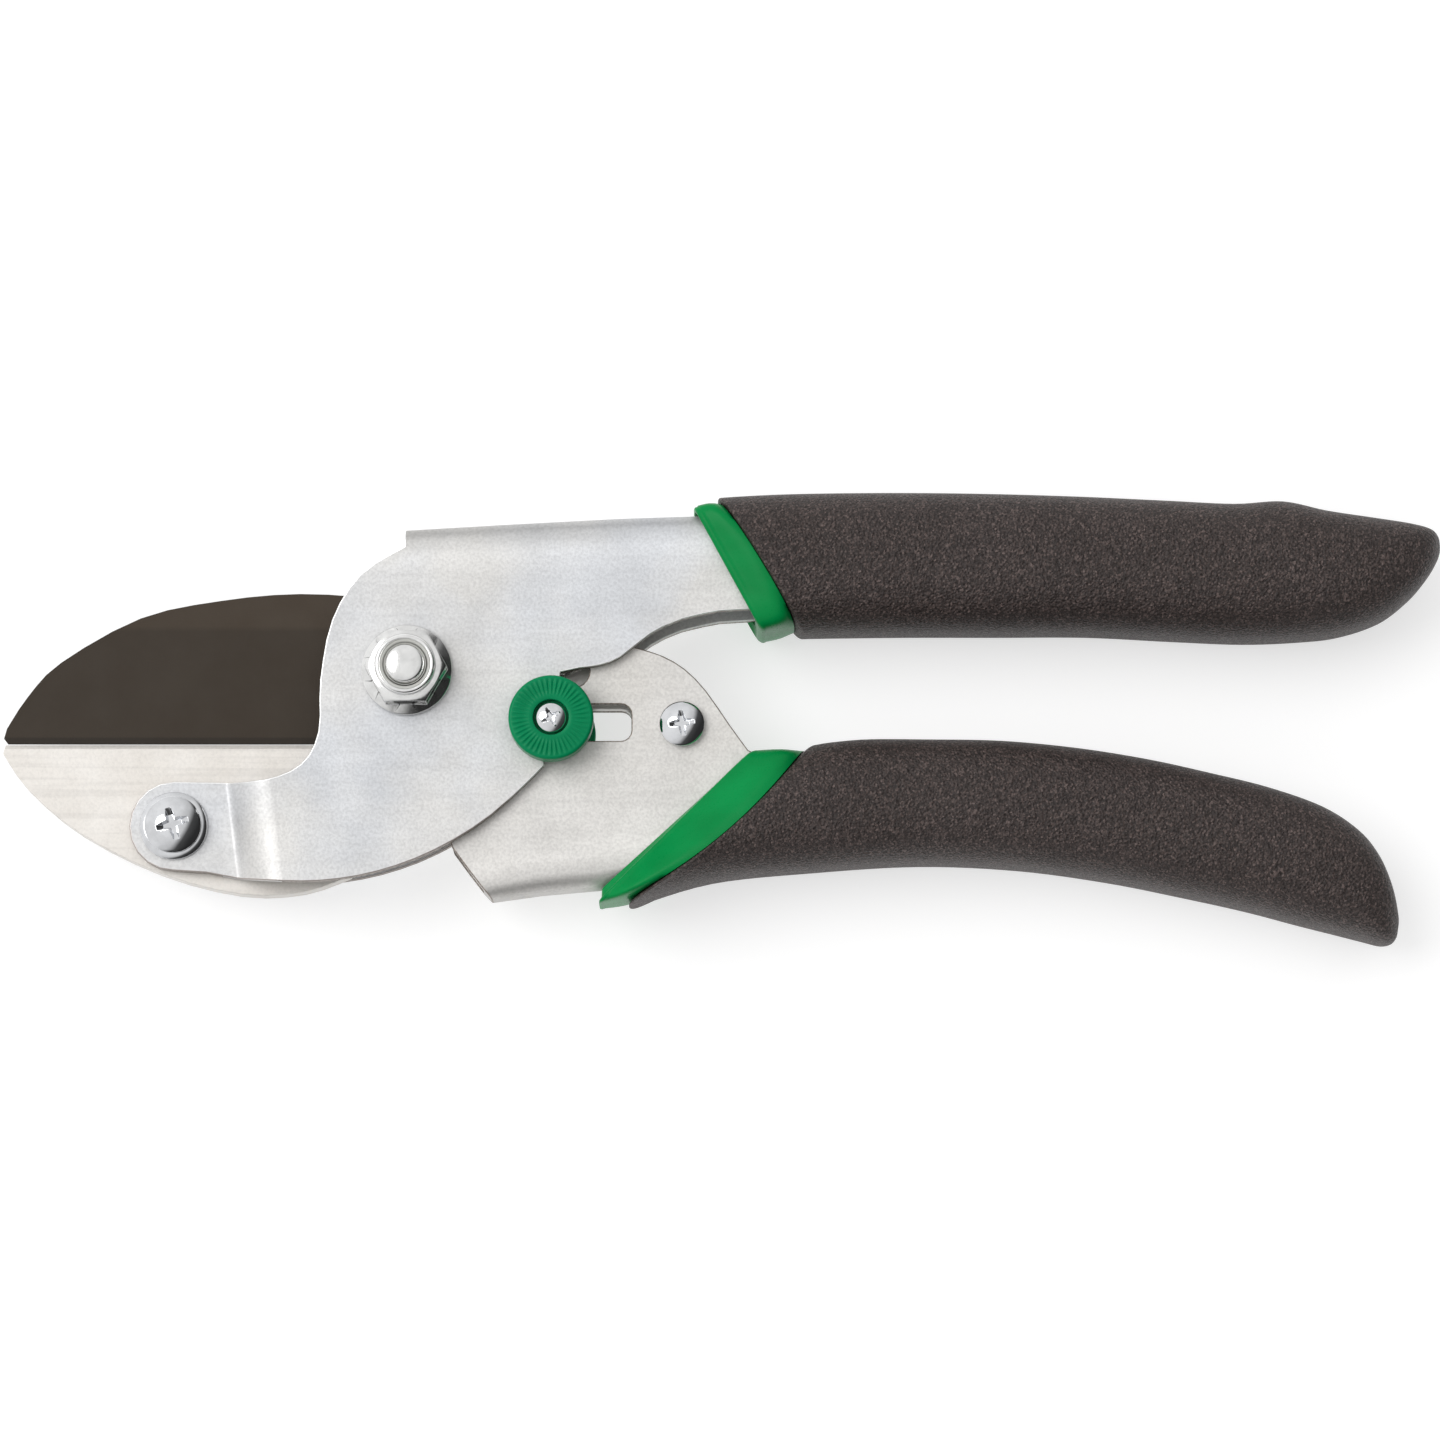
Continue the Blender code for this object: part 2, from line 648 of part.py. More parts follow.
def nut_insert():
    outer = NUT_COLLAR_DIAMETER - 2 * NUT_COLLAR_WALL - GAP
    return tube((0, 0), outer, BOLT_DIAMETER + GAP, nut_top() - NUT_COLLAR_HEIGHT + 2 * GAP,
                nut_top() - GAP)


def pivot_bushing():
    return tube((0, 0), BUSHING_DIAMETER, BOLT_DIAMETER + 2 * GAP,
                UPPER_BACK + UPPER_SHEET + GAP, UPPER_FRONT - UPPER_SHEET - GAP)


# ---- torsion spring ----

def spring_route():
    """Centre line of the spring: under the spine, round the bushing, and out to the lower wall."""
    low = SPRING_BACK + WIRE / 2
    high = SPRING_FRONT - WIRE / 2
    coil = []
    for step in range(COIL_STEPS + 1):
        share = step / COIL_STEPS
        angle = COIL_START + (COIL_END - COIL_START) * share
        coil.append(Vector((COIL_RADIUS * math.cos(angle), COIL_RADIUS * math.sin(angle),
                            low + (high - low) * share)))
    upper_end = Vector((*UPPER_LEG_END, low))
    hole = Vector((*LOWER_LEG_HOLE, high))
    forward = Vector((-WIRE, 0, 0))
    rise = Vector((0, 0, WIRE))
    bend = [hole + forward, hole + (forward + rise) * WIRE_BEND_SHARE]
    return [upper_end] + coil + bend + [hole + rise, hole + rise * WIRE_END_RISE]


def swept(route, diameter, sides):
    """Round wire along a route."""
    rings = []
    side = None
    for index, point in enumerate(route):
        before = route[max(index - 1, 0)]
        after = route[min(index + 1, len(route) - 1)]
        run = (after - before).normalized()
        if side is None:
            side = run.orthogonal().normalized()
        side = (side - run * side.dot(run)).normalized()
        other = run.cross(side)
        ring = []
        for turn in range(sides):
            angle = 2 * math.pi * turn / sides
            ring.append(point + (side * math.cos(angle) + other * math.sin(angle)) * diameter / 2)
        rings.append(ring)
    return lofted(rings)


# ---- thumb lock ----

def lock_knob(base, top, well):
    """Round thumb button. A well takes the screw's head, or a blind hole takes its end."""
    radius = KNOB_DIAMETER / 2
    inner = radius - KNOB_CHAMFER
    mesh = turned([(0, base), (inner, base), (radius, base + KNOB_CHAMFER),
                   (radius, top - KNOB_CHAMFER), (inner, top), (0, top)], LOCK_AT)
    bore = LOCK_SCREW_DIAMETER + 2 * GAP
    if not well:
        return cut(mesh, rod(LOCK_AT, bore, base + KNOB_FLOOR, top + BEYOND))
    return cut(mesh,
               rod(LOCK_AT, KNOB_WELL_DIAMETER, top - KNOB_WELL_DEPTH, top + BEYOND, ROUND_SEGMENTS),
               rod(LOCK_AT, bore, base - BEYOND, top + BEYOND))


def lock_knob_front():
    base = UPPER_FRONT + GAP
    return lock_knob(base, base + KNOB_THICKNESS, well=True)


def back_knob_bottom():
    return max(UPPER_BACK - GAP - KNOB_THICKNESS, 0) + GAP


def lock_knob_back():
    return lock_knob(back_knob_bottom(), UPPER_BACK - GAP, well=False)


def lock_screw():
    seat = UPPER_FRONT + GAP + KNOB_THICKNESS - KNOB_WELL_DEPTH + GAP
    end = back_knob_bottom() + KNOB_FLOOR + GAP
    return pan_screw(LOCK_AT, seat, end, LOCK_SCREW_DIAMETER, LOCK_SCREW_HEAD, LOCK_SCREW_HEAD_HEIGHT)


def lock_pin():
    return tube(LOCK_AT, PIN_DIAMETER, LOCK_SCREW_DIAMETER + 2 * GAP, UPPER_BACK, UPPER_FRONT,
                SMALL_SEGMENTS)


# ---- grips ----

# Each station is a line across the grip, from its top edge to its bottom edge, with the
# grip's half thickness there as a share of the full one.
UPPER_GRIP = (((43.4, 25.2), (55.2, 5.8), 1.0), ((53.0, 25.7), (61.0, 5.9), 1.0),
              ((66.0, 25.9), (71.0, 6.0), 1.0), ((80.0, 25.8), (83.0, 6.0), 1.0),
              ((94.0, 25.4), (96.0, 6.0), 1.0), ((107.0, 24.8), (108.0, 5.4), 1.0),
              ((116.5, 24.35), (118.0, 5.0), 1.0), ((123.4, 24.7), (126.0, 5.3), 1.0),
              ((129.5, 23.4), (131.7, 6.0), 0.98), ((136.0, 22.4), (137.4, 7.95), 0.92),
              ((141.4, 21.6), (141.4, 10.95), 0.79), ((144.3, 20.9), (143.9, 13.8), 0.60),
              ((145.5, 20.0), (145.3, 16.1), 0.34), ((145.9, 18.9), (145.85, 17.5), 0.12))
LOWER_GRIP = (((57.0, -9.95), (30.8, -32.7), 1.0), ((64.0, -9.25), (42.5, -29.2), 1.0),
              ((73.0, -9.25), (57.0, -27.65), 1.0), ((83.5, -9.45), (72.0, -26.75), 1.0),
              ((94.0, -10.45), (86.0, -27.35), 1.0), ((104.0, -12.05), (98.5, -29.05), 1.0),
              ((113.0, -14.05), (109.0, -31.15), 1.0), ((121.0, -16.05), (118.0, -33.15), 1.0),
              ((128.5, -18.75), (125.5, -35.15), 0.98), ((133.5, -22.05), (131.0, -36.55), 0.93),
              ((136.4, -25.65), (134.6, -37.5), 0.83), ((138.2, -29.9), (136.9, -38.1), 0.66),
              ((139.1, -33.9), (138.3, -37.9), 0.40), ((139.2, -35.4), (138.9, -37.2), 0.16))
UPPER_COLLAR_FRONT = ((40.0, 23.4), (49.6, 5.7))
LOWER_COLLAR_FRONT = ((48.4, -11.0), (26.6, -32.6))
SLEEVE_STOPS_BEFORE = 3
TAIL_START_X = 20.0


def grip_stations(drawn):
    stations = []
    for top, bottom, share in drawn:
        top, bottom = stretched([top, bottom])
        stations.append((Vector(top), Vector(bottom), share * GRIP_THICKNESS / 2))
    return stations


def shrunk(stations, amount):
    """Stations moved in from the surface by an amount, on every side."""
    moved = []
    for index, (top, bottom, half) in enumerate(stations):
        before = stations[max(index - 1, 0)]
        after = stations[min(index + 1, len(stations) - 1)]
        across = (top - bottom).normalized()
        top_step = amount / max(abs(across.cross((after[0] - before[0]).normalized())), 0.6)
        bottom_step = amount / max(abs(across.cross((after[1] - before[1]).normalized())), 0.6)
        moved.append((top - across * top_step, bottom + across * bottom_step, half - amount))
    return moved


def grip_ring(top, bottom, half):
    """Rounded section between a top and a bottom point."""
    centre = (top + bottom) / 2
    reach = (top - bottom) / 2
    ring = []
    for side in range(GRIP_SIDES):
        angle = 2 * math.pi * side / GRIP_SIDES
        power = 2 / GRIP_SQUARENESS
        up = math.copysign(abs(math.cos(angle)) ** power, math.cos(angle))
        out = math.copysign(abs(math.sin(angle)) ** power, math.sin(angle))
        if side % (GRIP_SIDES // 2) == 0:
            out = 0.0
        if (side + GRIP_SIDES // 4) % (GRIP_SIDES // 2) == 0:
            up = 0.0
        place = centre + reach * up
        ring.append((place.x, place.y, MIDDLE + half * out))
    return ring


def grip_solid(stations):
    return lofted([grip_ring(*station) for station in stations])


def grip_cover(drawn):
    """Soft cover: the grip's outer shape, less the sleeve and its clearance."""
    stations = grip_stations(drawn)
    hollow = shrunk(stations, COVER_THICKNESS)[:-SLEEVE_STOPS_BEFORE]
    forward = Vector((-BEYOND, 0))
    hollow.insert(0, (hollow[0][0] + forward, hollow[0][1] + forward, hollow[0][2]))
    return cut(grip_solid(stations), grip_solid(hollow))


def moved_along_x(station, distance):
    top, bottom, half = station
    step = Vector((distance, 0))
    return (top + step, bottom + step, half)


def grip_sleeve(drawn, collar_front, frame_half, wall_outline):
    """Moulded sleeve: a collar in front of the cover, and a tube under it for the handle's tail."""
    stations = grip_stations(drawn)
    across = (stations[0][0] - stations[0][1]).normalized()
    seat = GAP / abs(across.y)
    front_half = frame_half + GAP + COLLAR_FRONT_WALL
    front = (Vector(collar_front[0]), Vector(collar_front[1]), front_half)
    rear = moved_along_x(shrunk(stations, COLLAR_STEP)[0], -seat)
    middle = tuple((a + b) / 2 for a, b in zip(front, rear))
    inner = shrunk(stations, COVER_THICKNESS + GAP)[:-SLEEVE_STOPS_BEFORE]
    inner[0] = moved_along_x(inner[0], -seat)
    inner[-1] = moved_along_x(inner[-1], -GAP)
    mesh = grip_solid([front, middle, rear] + inner)
    return cut(mesh, tail_cavity(wall_outline, frame_half))


def tail_cavity(wall_outline, frame_half):
    """Space for a handle's tail, with a clearance all round it."""
    tail = [point for point in wall_outline if point[0] > TAIL_START_X]
    outward = -GAP if signed_area(tail) > 0 else GAP
    return prism(offset(tail, outward, closed=True),
                 MIDDLE - frame_half - GAP, MIDDLE + frame_half + GAP)


# ---- scene ----

def clear_scene():
    for old in list(bpy.data.objects):
        bpy.data.objects.remove(old, do_unlink=True)


def material(name, colour, roughness, metallic):
    made = bpy.data.materials.new(name)
    made.use_nodes = True
    shader = made.node_tree.nodes["Principled BSDF"]
    shader.inputs["Base Color"].default_value = (*colour, 1.0)
    shader.inputs["Roughness"].default_value = roughness
    shader.inputs["Metallic"].default_value = metallic
    return made


def empty(name, parent=None, place=(0.0, 0.0, 0.0)):
    made = bpy.data.objects.new(name, None)
    bpy.context.scene.collection.objects.link(made)
    made.parent = parent
    made.location = Vector(place) * METRES_PER_MM
    return made


def add_piece(name, mesh, finish, parent, origin=(0.0, 0.0, 0.0)):
    """Makes one named object in metres, with its own origin and its parent's motion."""
    mesh.transform(Matrix.Translation(-Vector(origin)))
    mesh.transform(Matrix.Scale(METRES_PER_MM, 4))
    data = bpy.data.meshes.new(name)
    mesh.to_mesh(data)
    mesh.free()
    data.shade_smooth()
    data.set_sharp_from_angle(angle=SHARP_ANGLE)
    data.materials.append(finish)
    piece = bpy.data.objects.new(name, data)
    bpy.context.scene.collection.objects.link(piece)
    piece.parent = parent
    return piece


def build():
    clear_scene()
    zinc = material("zinc_plated_steel", (0.66, 0.67, 0.67), 0.38, 1.0)
    zinc_lower = material("zinc_plated_steel_lower", (0.62, 0.60, 0.58), 0.38, 1.0)
    coated = material("coated_blade_steel", (0.058, 0.047, 0.038), 0.42, 0.3)
    alloy = material("anvil_alloy", (0.80, 0.76, 0.70), 0.45, 0.9)
    bright = material("bright_screw_steel", (0.72, 0.72, 0.70), 0.22, 1.0)
    spring_steel = material("spring_steel", (0.40, 0.39, 0.37), 0.32, 1.0)
    bronze = material("sintered_bronze", (0.50, 0.36, 0.20), 0.45, 1.0)
    nylon = material("nylon", (0.80, 0.80, 0.76), 0.50, 0.0)
    green_gloss = material("green_plastic_gloss", (0.005, 0.30, 0.085), 0.25, 0.0)
    green_knob = material("green_plastic_knob", (0.006, 0.21, 0.085), 0.40, 0.0)
    foam = material("dark_grip_foam", (0.070, 0.056, 0.052), 0.80, 0.0)

    upper = empty("upper_handle")
    lower = empty("lower_handle")
    lock_origin = (*LOCK_AT, MIDDLE)
    lock = empty("thumb_lock", lower, lock_origin)

    anvil_at = stretched([ANVIL_SCREW_AT])[0]
    anvil_seat = FRONT_ARM_OUTER + GAP + ANVIL_WASHER_THICKNESS + GAP
    anvil_nut_top = BACK_ARM_OUTER - GAP
    blade_seat = LOWER_FRONT + GAP
    blade_nut_top = LOWER_BACK - GAP

    add_piece("upper_frame", upper_frame(), zinc, upper)
    add_piece("anvil", anvil(), alloy, upper)
    add_piece("anvil_screw", pan_screw(anvil_at, anvil_seat, anvil_nut_top - SMALL_NUT_HEIGHT,
                                       ANVIL_SCREW_DIAMETER, ANVIL_SCREW_HEAD,
                                       ANVIL_SCREW_HEAD_HEIGHT), bright, upper)
    add_piece("anvil_screw_washer", tube(anvil_at, ANVIL_WASHER_DIAMETER,
                                         ANVIL_SCREW_DIAMETER + 2 * GAP, FRONT_ARM_OUTER + GAP,
                                         anvil_seat - GAP), bright, upper)
    add_piece("anvil_nut", hex_nut(anvil_at, SMALL_NUT_FLATS, ANVIL_SCREW_DIAMETER + 2 * GAP,
                                   anvil_nut_top - SMALL_NUT_HEIGHT, anvil_nut_top), bright, upper)
    add_piece("pivot_bolt", pivot_bolt(), bright, upper)
    add_piece("pivot_nut", pivot_nut(), bright, upper)
    add_piece("pivot_nut_insert", nut_insert(), nylon, upper)
    add_piece("pivot_bushing", pivot_bushing(), bronze, upper)
    add_piece("torsion_spring", swept(spring_route(), WIRE, WIRE_SIDES), spring_steel, upper)
    add_piece("upper_grip_sleeve", grip_sleeve(UPPER_GRIP, UPPER_COLLAR_FRONT, UPPER_WIDTH / 2,
                                               upper_wall_outline()),
              green_gloss, upper)
    add_piece("upper_grip_cover", grip_cover(UPPER_GRIP), foam, upper)

    add_piece("lower_frame", lower_frame(), zinc_lower, lower)
    add_piece("blade", blade(), coated, lower)
    add_piece("blade_screw", pan_screw(BLADE_SCREW_AT, blade_seat, blade_nut_top - SMALL_NUT_HEIGHT,
                                       BLADE_SCREW_DIAMETER, BLADE_SCREW_HEAD,
                                       BLADE_SCREW_HEAD_HEIGHT), bright, lower)
    add_piece("blade_spacer", tube(BLADE_SCREW_AT, SPACER_DIAMETER, BLADE_SCREW_DIAMETER + 2 * GAP,
                                   BLADE_FRONT + GAP, LOWER_FRONT - LOWER_SHEET - GAP,
                                   SMALL_SEGMENTS), zinc_lower, lower)
    add_piece("blade_nut", hex_nut(BLADE_SCREW_AT, BLADE_NUT_FLATS, BLADE_SCREW_DIAMETER + 2 * GAP,
                                   blade_nut_top - SMALL_NUT_HEIGHT, blade_nut_top), bright, lower)
    add_piece("lower_grip_sleeve", grip_sleeve(LOWER_GRIP, LOWER_COLLAR_FRONT, LOWER_WIDTH / 2,
                                               lower_wall_outline()),
              green_gloss, lower)
    add_piece("lower_grip_cover", grip_cover(LOWER_GRIP), foam, lower)

    add_piece("lock_knob_front", lock_knob_front(), green_knob, lock, lock_origin)
    add_piece("lock_knob_back", lock_knob_back(), green_knob, lock, lock_origin)
    add_piece("lock_pin", lock_pin(), zinc, lock, lock_origin)
    add_piece("lock_screw", lock_screw(), bright, lock, lock_origin)


build()
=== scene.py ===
"""Looks of the anvil pruning shears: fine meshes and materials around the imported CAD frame.

Shapes are drawn in millimetres and scaled to metres as the last step of each piece. Heights and
places come from the frame's nodes. +X runs along the handles, +Y to the upper handle, +Z up.
"""

import math

import bmesh
import bpy
from mathutils import Matrix, Vector


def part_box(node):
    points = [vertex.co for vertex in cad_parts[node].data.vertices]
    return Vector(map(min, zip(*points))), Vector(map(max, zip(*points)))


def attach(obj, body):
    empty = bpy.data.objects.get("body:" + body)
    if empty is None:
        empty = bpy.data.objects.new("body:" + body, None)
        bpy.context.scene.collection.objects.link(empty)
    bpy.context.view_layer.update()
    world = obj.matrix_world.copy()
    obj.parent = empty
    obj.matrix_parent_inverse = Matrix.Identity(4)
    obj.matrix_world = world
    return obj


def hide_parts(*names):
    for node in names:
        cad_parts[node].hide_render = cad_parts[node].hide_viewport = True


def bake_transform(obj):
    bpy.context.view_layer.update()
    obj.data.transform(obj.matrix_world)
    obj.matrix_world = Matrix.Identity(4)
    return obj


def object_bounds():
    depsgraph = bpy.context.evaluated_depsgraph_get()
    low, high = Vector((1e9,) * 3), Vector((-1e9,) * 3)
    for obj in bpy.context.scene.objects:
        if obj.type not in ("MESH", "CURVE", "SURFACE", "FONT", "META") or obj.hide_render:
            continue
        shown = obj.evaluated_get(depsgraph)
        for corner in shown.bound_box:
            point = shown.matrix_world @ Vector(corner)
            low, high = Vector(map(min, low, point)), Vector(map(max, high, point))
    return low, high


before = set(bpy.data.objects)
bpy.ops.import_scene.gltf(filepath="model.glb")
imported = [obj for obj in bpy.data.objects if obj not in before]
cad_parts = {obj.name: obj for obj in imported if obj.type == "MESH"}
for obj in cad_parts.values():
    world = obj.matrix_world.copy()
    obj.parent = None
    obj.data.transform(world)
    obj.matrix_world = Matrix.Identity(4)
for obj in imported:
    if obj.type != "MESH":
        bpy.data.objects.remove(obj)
cad_low, cad_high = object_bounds()

MM = 0.001


# ---- places read from the frame, in millimetres ----

def low(node):
    """Lowest corner of a node's box."""
    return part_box(node)[0] / MM


def high(node):
    """Highest corner of a node's box."""
    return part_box(node)[1] / MM


def centre(node):
    """Middle of a node as seen from above."""
    middle = (low(node) + high(node)) / 2
    return (middle.x, middle.y)


def width(node):
    """Size of a node along X, which is a round piece's diameter."""
    return high(node).x - low(node).x


# Height of the tool's middle plane, and the gap between neighbouring CAD pieces
MIDDLE = high("upper_grip_cover").z / 2
CLEARANCE = 0.3


# ---- mesh tools ----

def arc(place, radius, start, end, steps):
    """Points on an arc, its angles in degrees."""
    points = []
    for step in range(steps + 1):
        angle = math.radians(start + (end - start) * step / steps)
        points.append((place[0] + radius * math.cos(angle), place[1] + radius * math.sin(angle)))
    return points


def prism(outline, bottom, top):
    """Outline pushed from one height to another."""
    mesh = bmesh.new()
    face = mesh.faces.new([mesh.verts.new((x, y, bottom)) for x, y in outline])
    pushed = bmesh.ops.extrude_face_region(mesh, geom=[face])
    moved = [item for item in pushed["geom"] if isinstance(item, bmesh.types.BMVert)]
    bmesh.ops.translate(mesh, verts=moved, vec=(0, 0, top - bottom))
    bmesh.ops.recalc_face_normals(mesh, faces=mesh.faces)
    return mesh


def join_rows(mesh, first, second):
    """Faces between two closed rows of vertices; a row of one vertex makes a fan."""
    count = max(len(first), len(second))
    for index in range(count):
        following = (index + 1) % count
        corners = []
        for vertex in (first[index % len(first)], first[following % len(first)],
                       second[following % len(second)], second[index % len(second)]):
            if vertex not in corners:
                corners.append(vertex)
        mesh.faces.new(corners)


def turned(profile, place=(0.0, 0.0), segments=96, ring=False):
    """Profile of (radius, height) points turned about an upright axis. A ring's profile is closed."""
    mesh = bmesh.new()
    rows = []
    for radius, height in profile:
        if radius == 0:
            rows.append([mesh.verts.new((place[0], place[1], height))])
            continue
        circle = arc(place, radius, 0, 360 * (segments - 1) / segments, segments - 1)
        rows.append([mesh.verts.new((x, y, height)) for x, y in circle])
    following = rows[1:] + rows[:1] if ring else rows[1:]
    for first, second in zip(rows, following):
        join_rows(mesh, first, second)
    bmesh.ops.recalc_face_normals(mesh, faces=mesh.faces)
    return mesh


def lofted(rings):
    """Skin through rings of points, with both ends closed."""
    mesh = bmesh.new()
    rows = [[mesh.verts.new(point) for point in ring] for ring in rings]
    for first, second in zip(rows, rows[1:]):
        join_rows(mesh, first, second)
    mesh.faces.new(rows[0])
    mesh.faces.new(rows[-1])
    bmesh.ops.recalc_face_normals(mesh, faces=mesh.faces)
    return mesh


def placed(name, data):
    """New object of the scene."""
    made = bpy.data.objects.new(name, data)
    bpy.context.scene.collection.objects.link(made)
    return made


def to_object(mesh, name="shape"):
    """Object made of a mesh, which is used up."""
    data = bpy.data.meshes.new(name)
    mesh.to_mesh(data)
    mesh.free()
    return placed(name, data)


def combined(mesh, other, operation):
    """Boolean of two solids, which are both used up."""
    body = to_object(mesh)
    tool = to_object(other)
    modifier = body.modifiers.new("combine", "BOOLEAN")
    modifier.operation = operation
    modifier.solver = "EXACT"
    modifier.object = tool
    evaluated = body.evaluated_get(bpy.context.evaluated_depsgraph_get())
    result = bmesh.new()
    result.from_mesh(evaluated.to_mesh())
    evaluated.to_mesh_clear()
    for shape in (body, tool):
        bpy.data.objects.remove(shape)
    return result


def curve_value(before, first, second, after, t):
    """Smooth value between two stations, which also meets its neighbours smoothly."""
    bend = 2 * before - 5 * first + 4 * second - after
    twist = 3 * first - before - 3 * second + after
    return 0.5 * (2 * first + (second - before) * t + bend * t * t + twist * t ** 3)


def add_piece(name, mesh, finishes, body, nodes, bevel=0.0, segments=2, scale=MM, smooth_below=32,
              bevel_finish=-1):
    """Puts a mesh in the scene in place of its CAD nodes, riding on their body.

    Edges that turn by more than smooth_below degrees are beveled, or left sharp without a bevel.
    The bevel takes the finish with the index bevel_finish, and its neighbour's finish at -1.
    """
    mesh.transform(Matrix.Scale(scale, 4))
    piece = to_object(mesh, name)
    piece.data.shade_smooth()
    for finish in finishes:
        piece.data.materials.append(finish)
    if bevel:
        rounding = piece.modifiers.new("rounding", "BEVEL")
        rounding.width = bevel * MM
        rounding.segments = segments
        rounding.limit_method = "ANGLE"
        rounding.angle_limit = math.radians(smooth_below)
        rounding.use_clamp_overlap = False
        rounding.material = bevel_finish
    else:
        piece.data.set_sharp_from_angle(angle=math.radians(smooth_below))
    normals = piece.modifiers.new("normals", "WEIGHTED_NORMAL")
    normals.keep_sharp = True
    if body:
        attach(piece, body)
    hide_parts(*nodes)
    return piece


# ---- materials ----

def set_stops(ramp, stops):
    """Colours or values along a colour ramp: each stop is (position, value or colour)."""
    while len(ramp.elements) < len(stops):
        ramp.elements.new(0.5)
    for element, (position, value) in zip(ramp.elements, stops):
        element.position = position
        element.color = (*value, 1) if isinstance(value, tuple) else (value, value, value, 1)


class Finish:
    """One procedural material. Its patterns are fixed to the piece and measured in metres."""

    def __init__(self, name, **fixed):
        self.material = bpy.data.materials.new(name)
        self.material.use_nodes = True
        self.tree = self.material.node_tree
        self.shader = self.tree.nodes["Principled BSDF"]
        self.place = self.tree.nodes.new("ShaderNodeTexCoord").outputs["Object"]
        for socket, value in fixed.items():
            self.shader.inputs[socket.replace("_", " ")].default_value = value

    def node(self, kind, **settings):
        made = self.tree.nodes.new(kind)
        for key, value in settings.items():
            setattr(made, key, value)
        return made

    def link(self, source, target):
        self.tree.links.new(source, target)

    def to_shader(self, source, socket):
        self.link(source, self.shader.inputs[socket])

    def squeezed(self, scales, turn=0.0):
        """Coordinates stretched or squeezed along each axis, for patterns with a direction."""
        mapping = self.node("ShaderNodeMapping")
        mapping.inputs["Scale"].default_value = scales
        mapping.inputs["Rotation"].default_value = (0, 0, turn)
        self.link(self.place, mapping.inputs["Vector"])
        return mapping.outputs["Vector"]

    def noise(self, size, detail=3.0, roughness=0.5, place=None):
        """Cloudy pattern with features of about a size in millimetres."""
        texture = self.node("ShaderNodeTexNoise")
        texture.inputs["Scale"].default_value = 1 / (size * MM)
        texture.inputs["Detail"].default_value = detail
        texture.inputs["Roughness"].default_value = roughness
        self.link(place or self.place, texture.inputs["Vector"])
        return texture.outputs["Fac"]

    def cells(self, size, output="Distance"):
        """Pebbled pattern with cells of about a size in millimetres; its colour differs by cell."""
        texture = self.node("ShaderNodeTexVoronoi")
        texture.inputs["Scale"].default_value = 1 / (size * MM)
        self.link(self.place, texture.inputs["Vector"])
        return texture.outputs[output]

    def ramp(self, factor, *stops):
        """Colours or values along a pattern."""
        made = self.node("ShaderNodeValToRGB")
        set_stops(made.color_ramp, stops)
        self.link(factor, made.inputs["Fac"])
        return made.outputs["Color"]

    def mixed(self, share, first, second, mode="MULTIPLY"):
        """Two colours put together by a share; unless told otherwise they are multiplied."""
        made = self.node("ShaderNodeMix", data_type="RGBA", blend_type=mode)
        made.inputs[0].default_value = share
        self.link(first, made.inputs[6])
        self.link(second, made.inputs[7])
        return made.outputs[2]

    def along(self, direction, start, end):
        """Value that goes from 0 to 1 between two distances along a direction, in millimetres."""
        distance = self.node("ShaderNodeVectorMath", operation="DOT_PRODUCT")
        distance.inputs[1].default_value = direction
        self.link(self.place, distance.inputs[0])
        made = self.node("ShaderNodeMapRange", clamp=True)
        made.inputs["From Min"].default_value = start * MM
        made.inputs["From Max"].default_value = end * MM
        self.link(distance.outputs["Value"], made.inputs["Value"])
        return made.outputs["Result"]

    def relief(self, *layers):
        """Bump made of (pattern, depth in millimetres) layers."""
        normal = None
        for pattern, depth in layers:
            bump = self.node("ShaderNodeBump")
            bump.inputs["Distance"].default_value = depth * MM
            self.link(pattern, bump.inputs["Height"])
            if normal:
                self.link(normal, bump.inputs["Normal"])
            normal = bump.outputs["Normal"]
        self.to_shader(normal, "Normal")


def zinc_plate(name, cool, warm, towards_spine, spine_at):
    """Zinc-plated sheet: cool and warm patches, orange peel, specks, scratches, faint streaks, and painted
    light beside the spine.

    The painted highlight and painted shade run in a band beside the spine, at a distance along a direction
    that points to it.
    """
    finish = Finish(name, Metallic=0.6)
    tint = finish.noise(24.0)
    cloud = finish.noise(7.0)
    grain = finish.noise(0.42, 2.0, 0.6)
    scratches = finish.noise(1.4, 2.0, 0.5, finish.squeezed((0.08, 1.6, 1.0), 0.5))
    streaks = finish.noise(1.1, 3.0, 0.6, finish.squeezed((0.10, 1.0, 1.0), 0.05))
    colour = finish.ramp(tint, (0.38, cool), (0.60, warm))
    colour = finish.mixed(0.45, colour, finish.ramp(cloud, (0.32, 0.88), (0.66, 1.0)))
    colour = finish.mixed(0.8, colour, finish.ramp(grain, (0.34, 0.82), (0.62, 1.0)))
    colour = finish.mixed(0.12, colour, finish.ramp(scratches, (0.35, 0.75), (0.55, 1.0)))
    # Painted highlight and painted shade: a lighter, then darker band beside the spine stands in for light
    # on the bent sheet. Faint streaks are mixed in over the whole sheet.
    painted_spine_light = finish.ramp(finish.along(towards_spine, spine_at - 8.0, spine_at), (0.0, 1.0), (0.45, 1.08),
                       (0.68, 0.90), (0.86, 0.74), (1.0, 0.92))
    painted_spine_light = finish.mixed(0.18, painted_spine_light, finish.ramp(streaks, (0.35, 0.90), (0.65, 1.06)))
    colour = finish.mixed(1.0, colour, painted_spine_light)
    finish.to_shader(colour, "Base Color")
    finish.to_shader(finish.ramp(cloud, (0.3, 0.58), (0.7, 0.48)), "Roughness")
    finish.relief((grain, 0.022), (cloud, 0.05), (scratches, 0.004))
    return finish.material


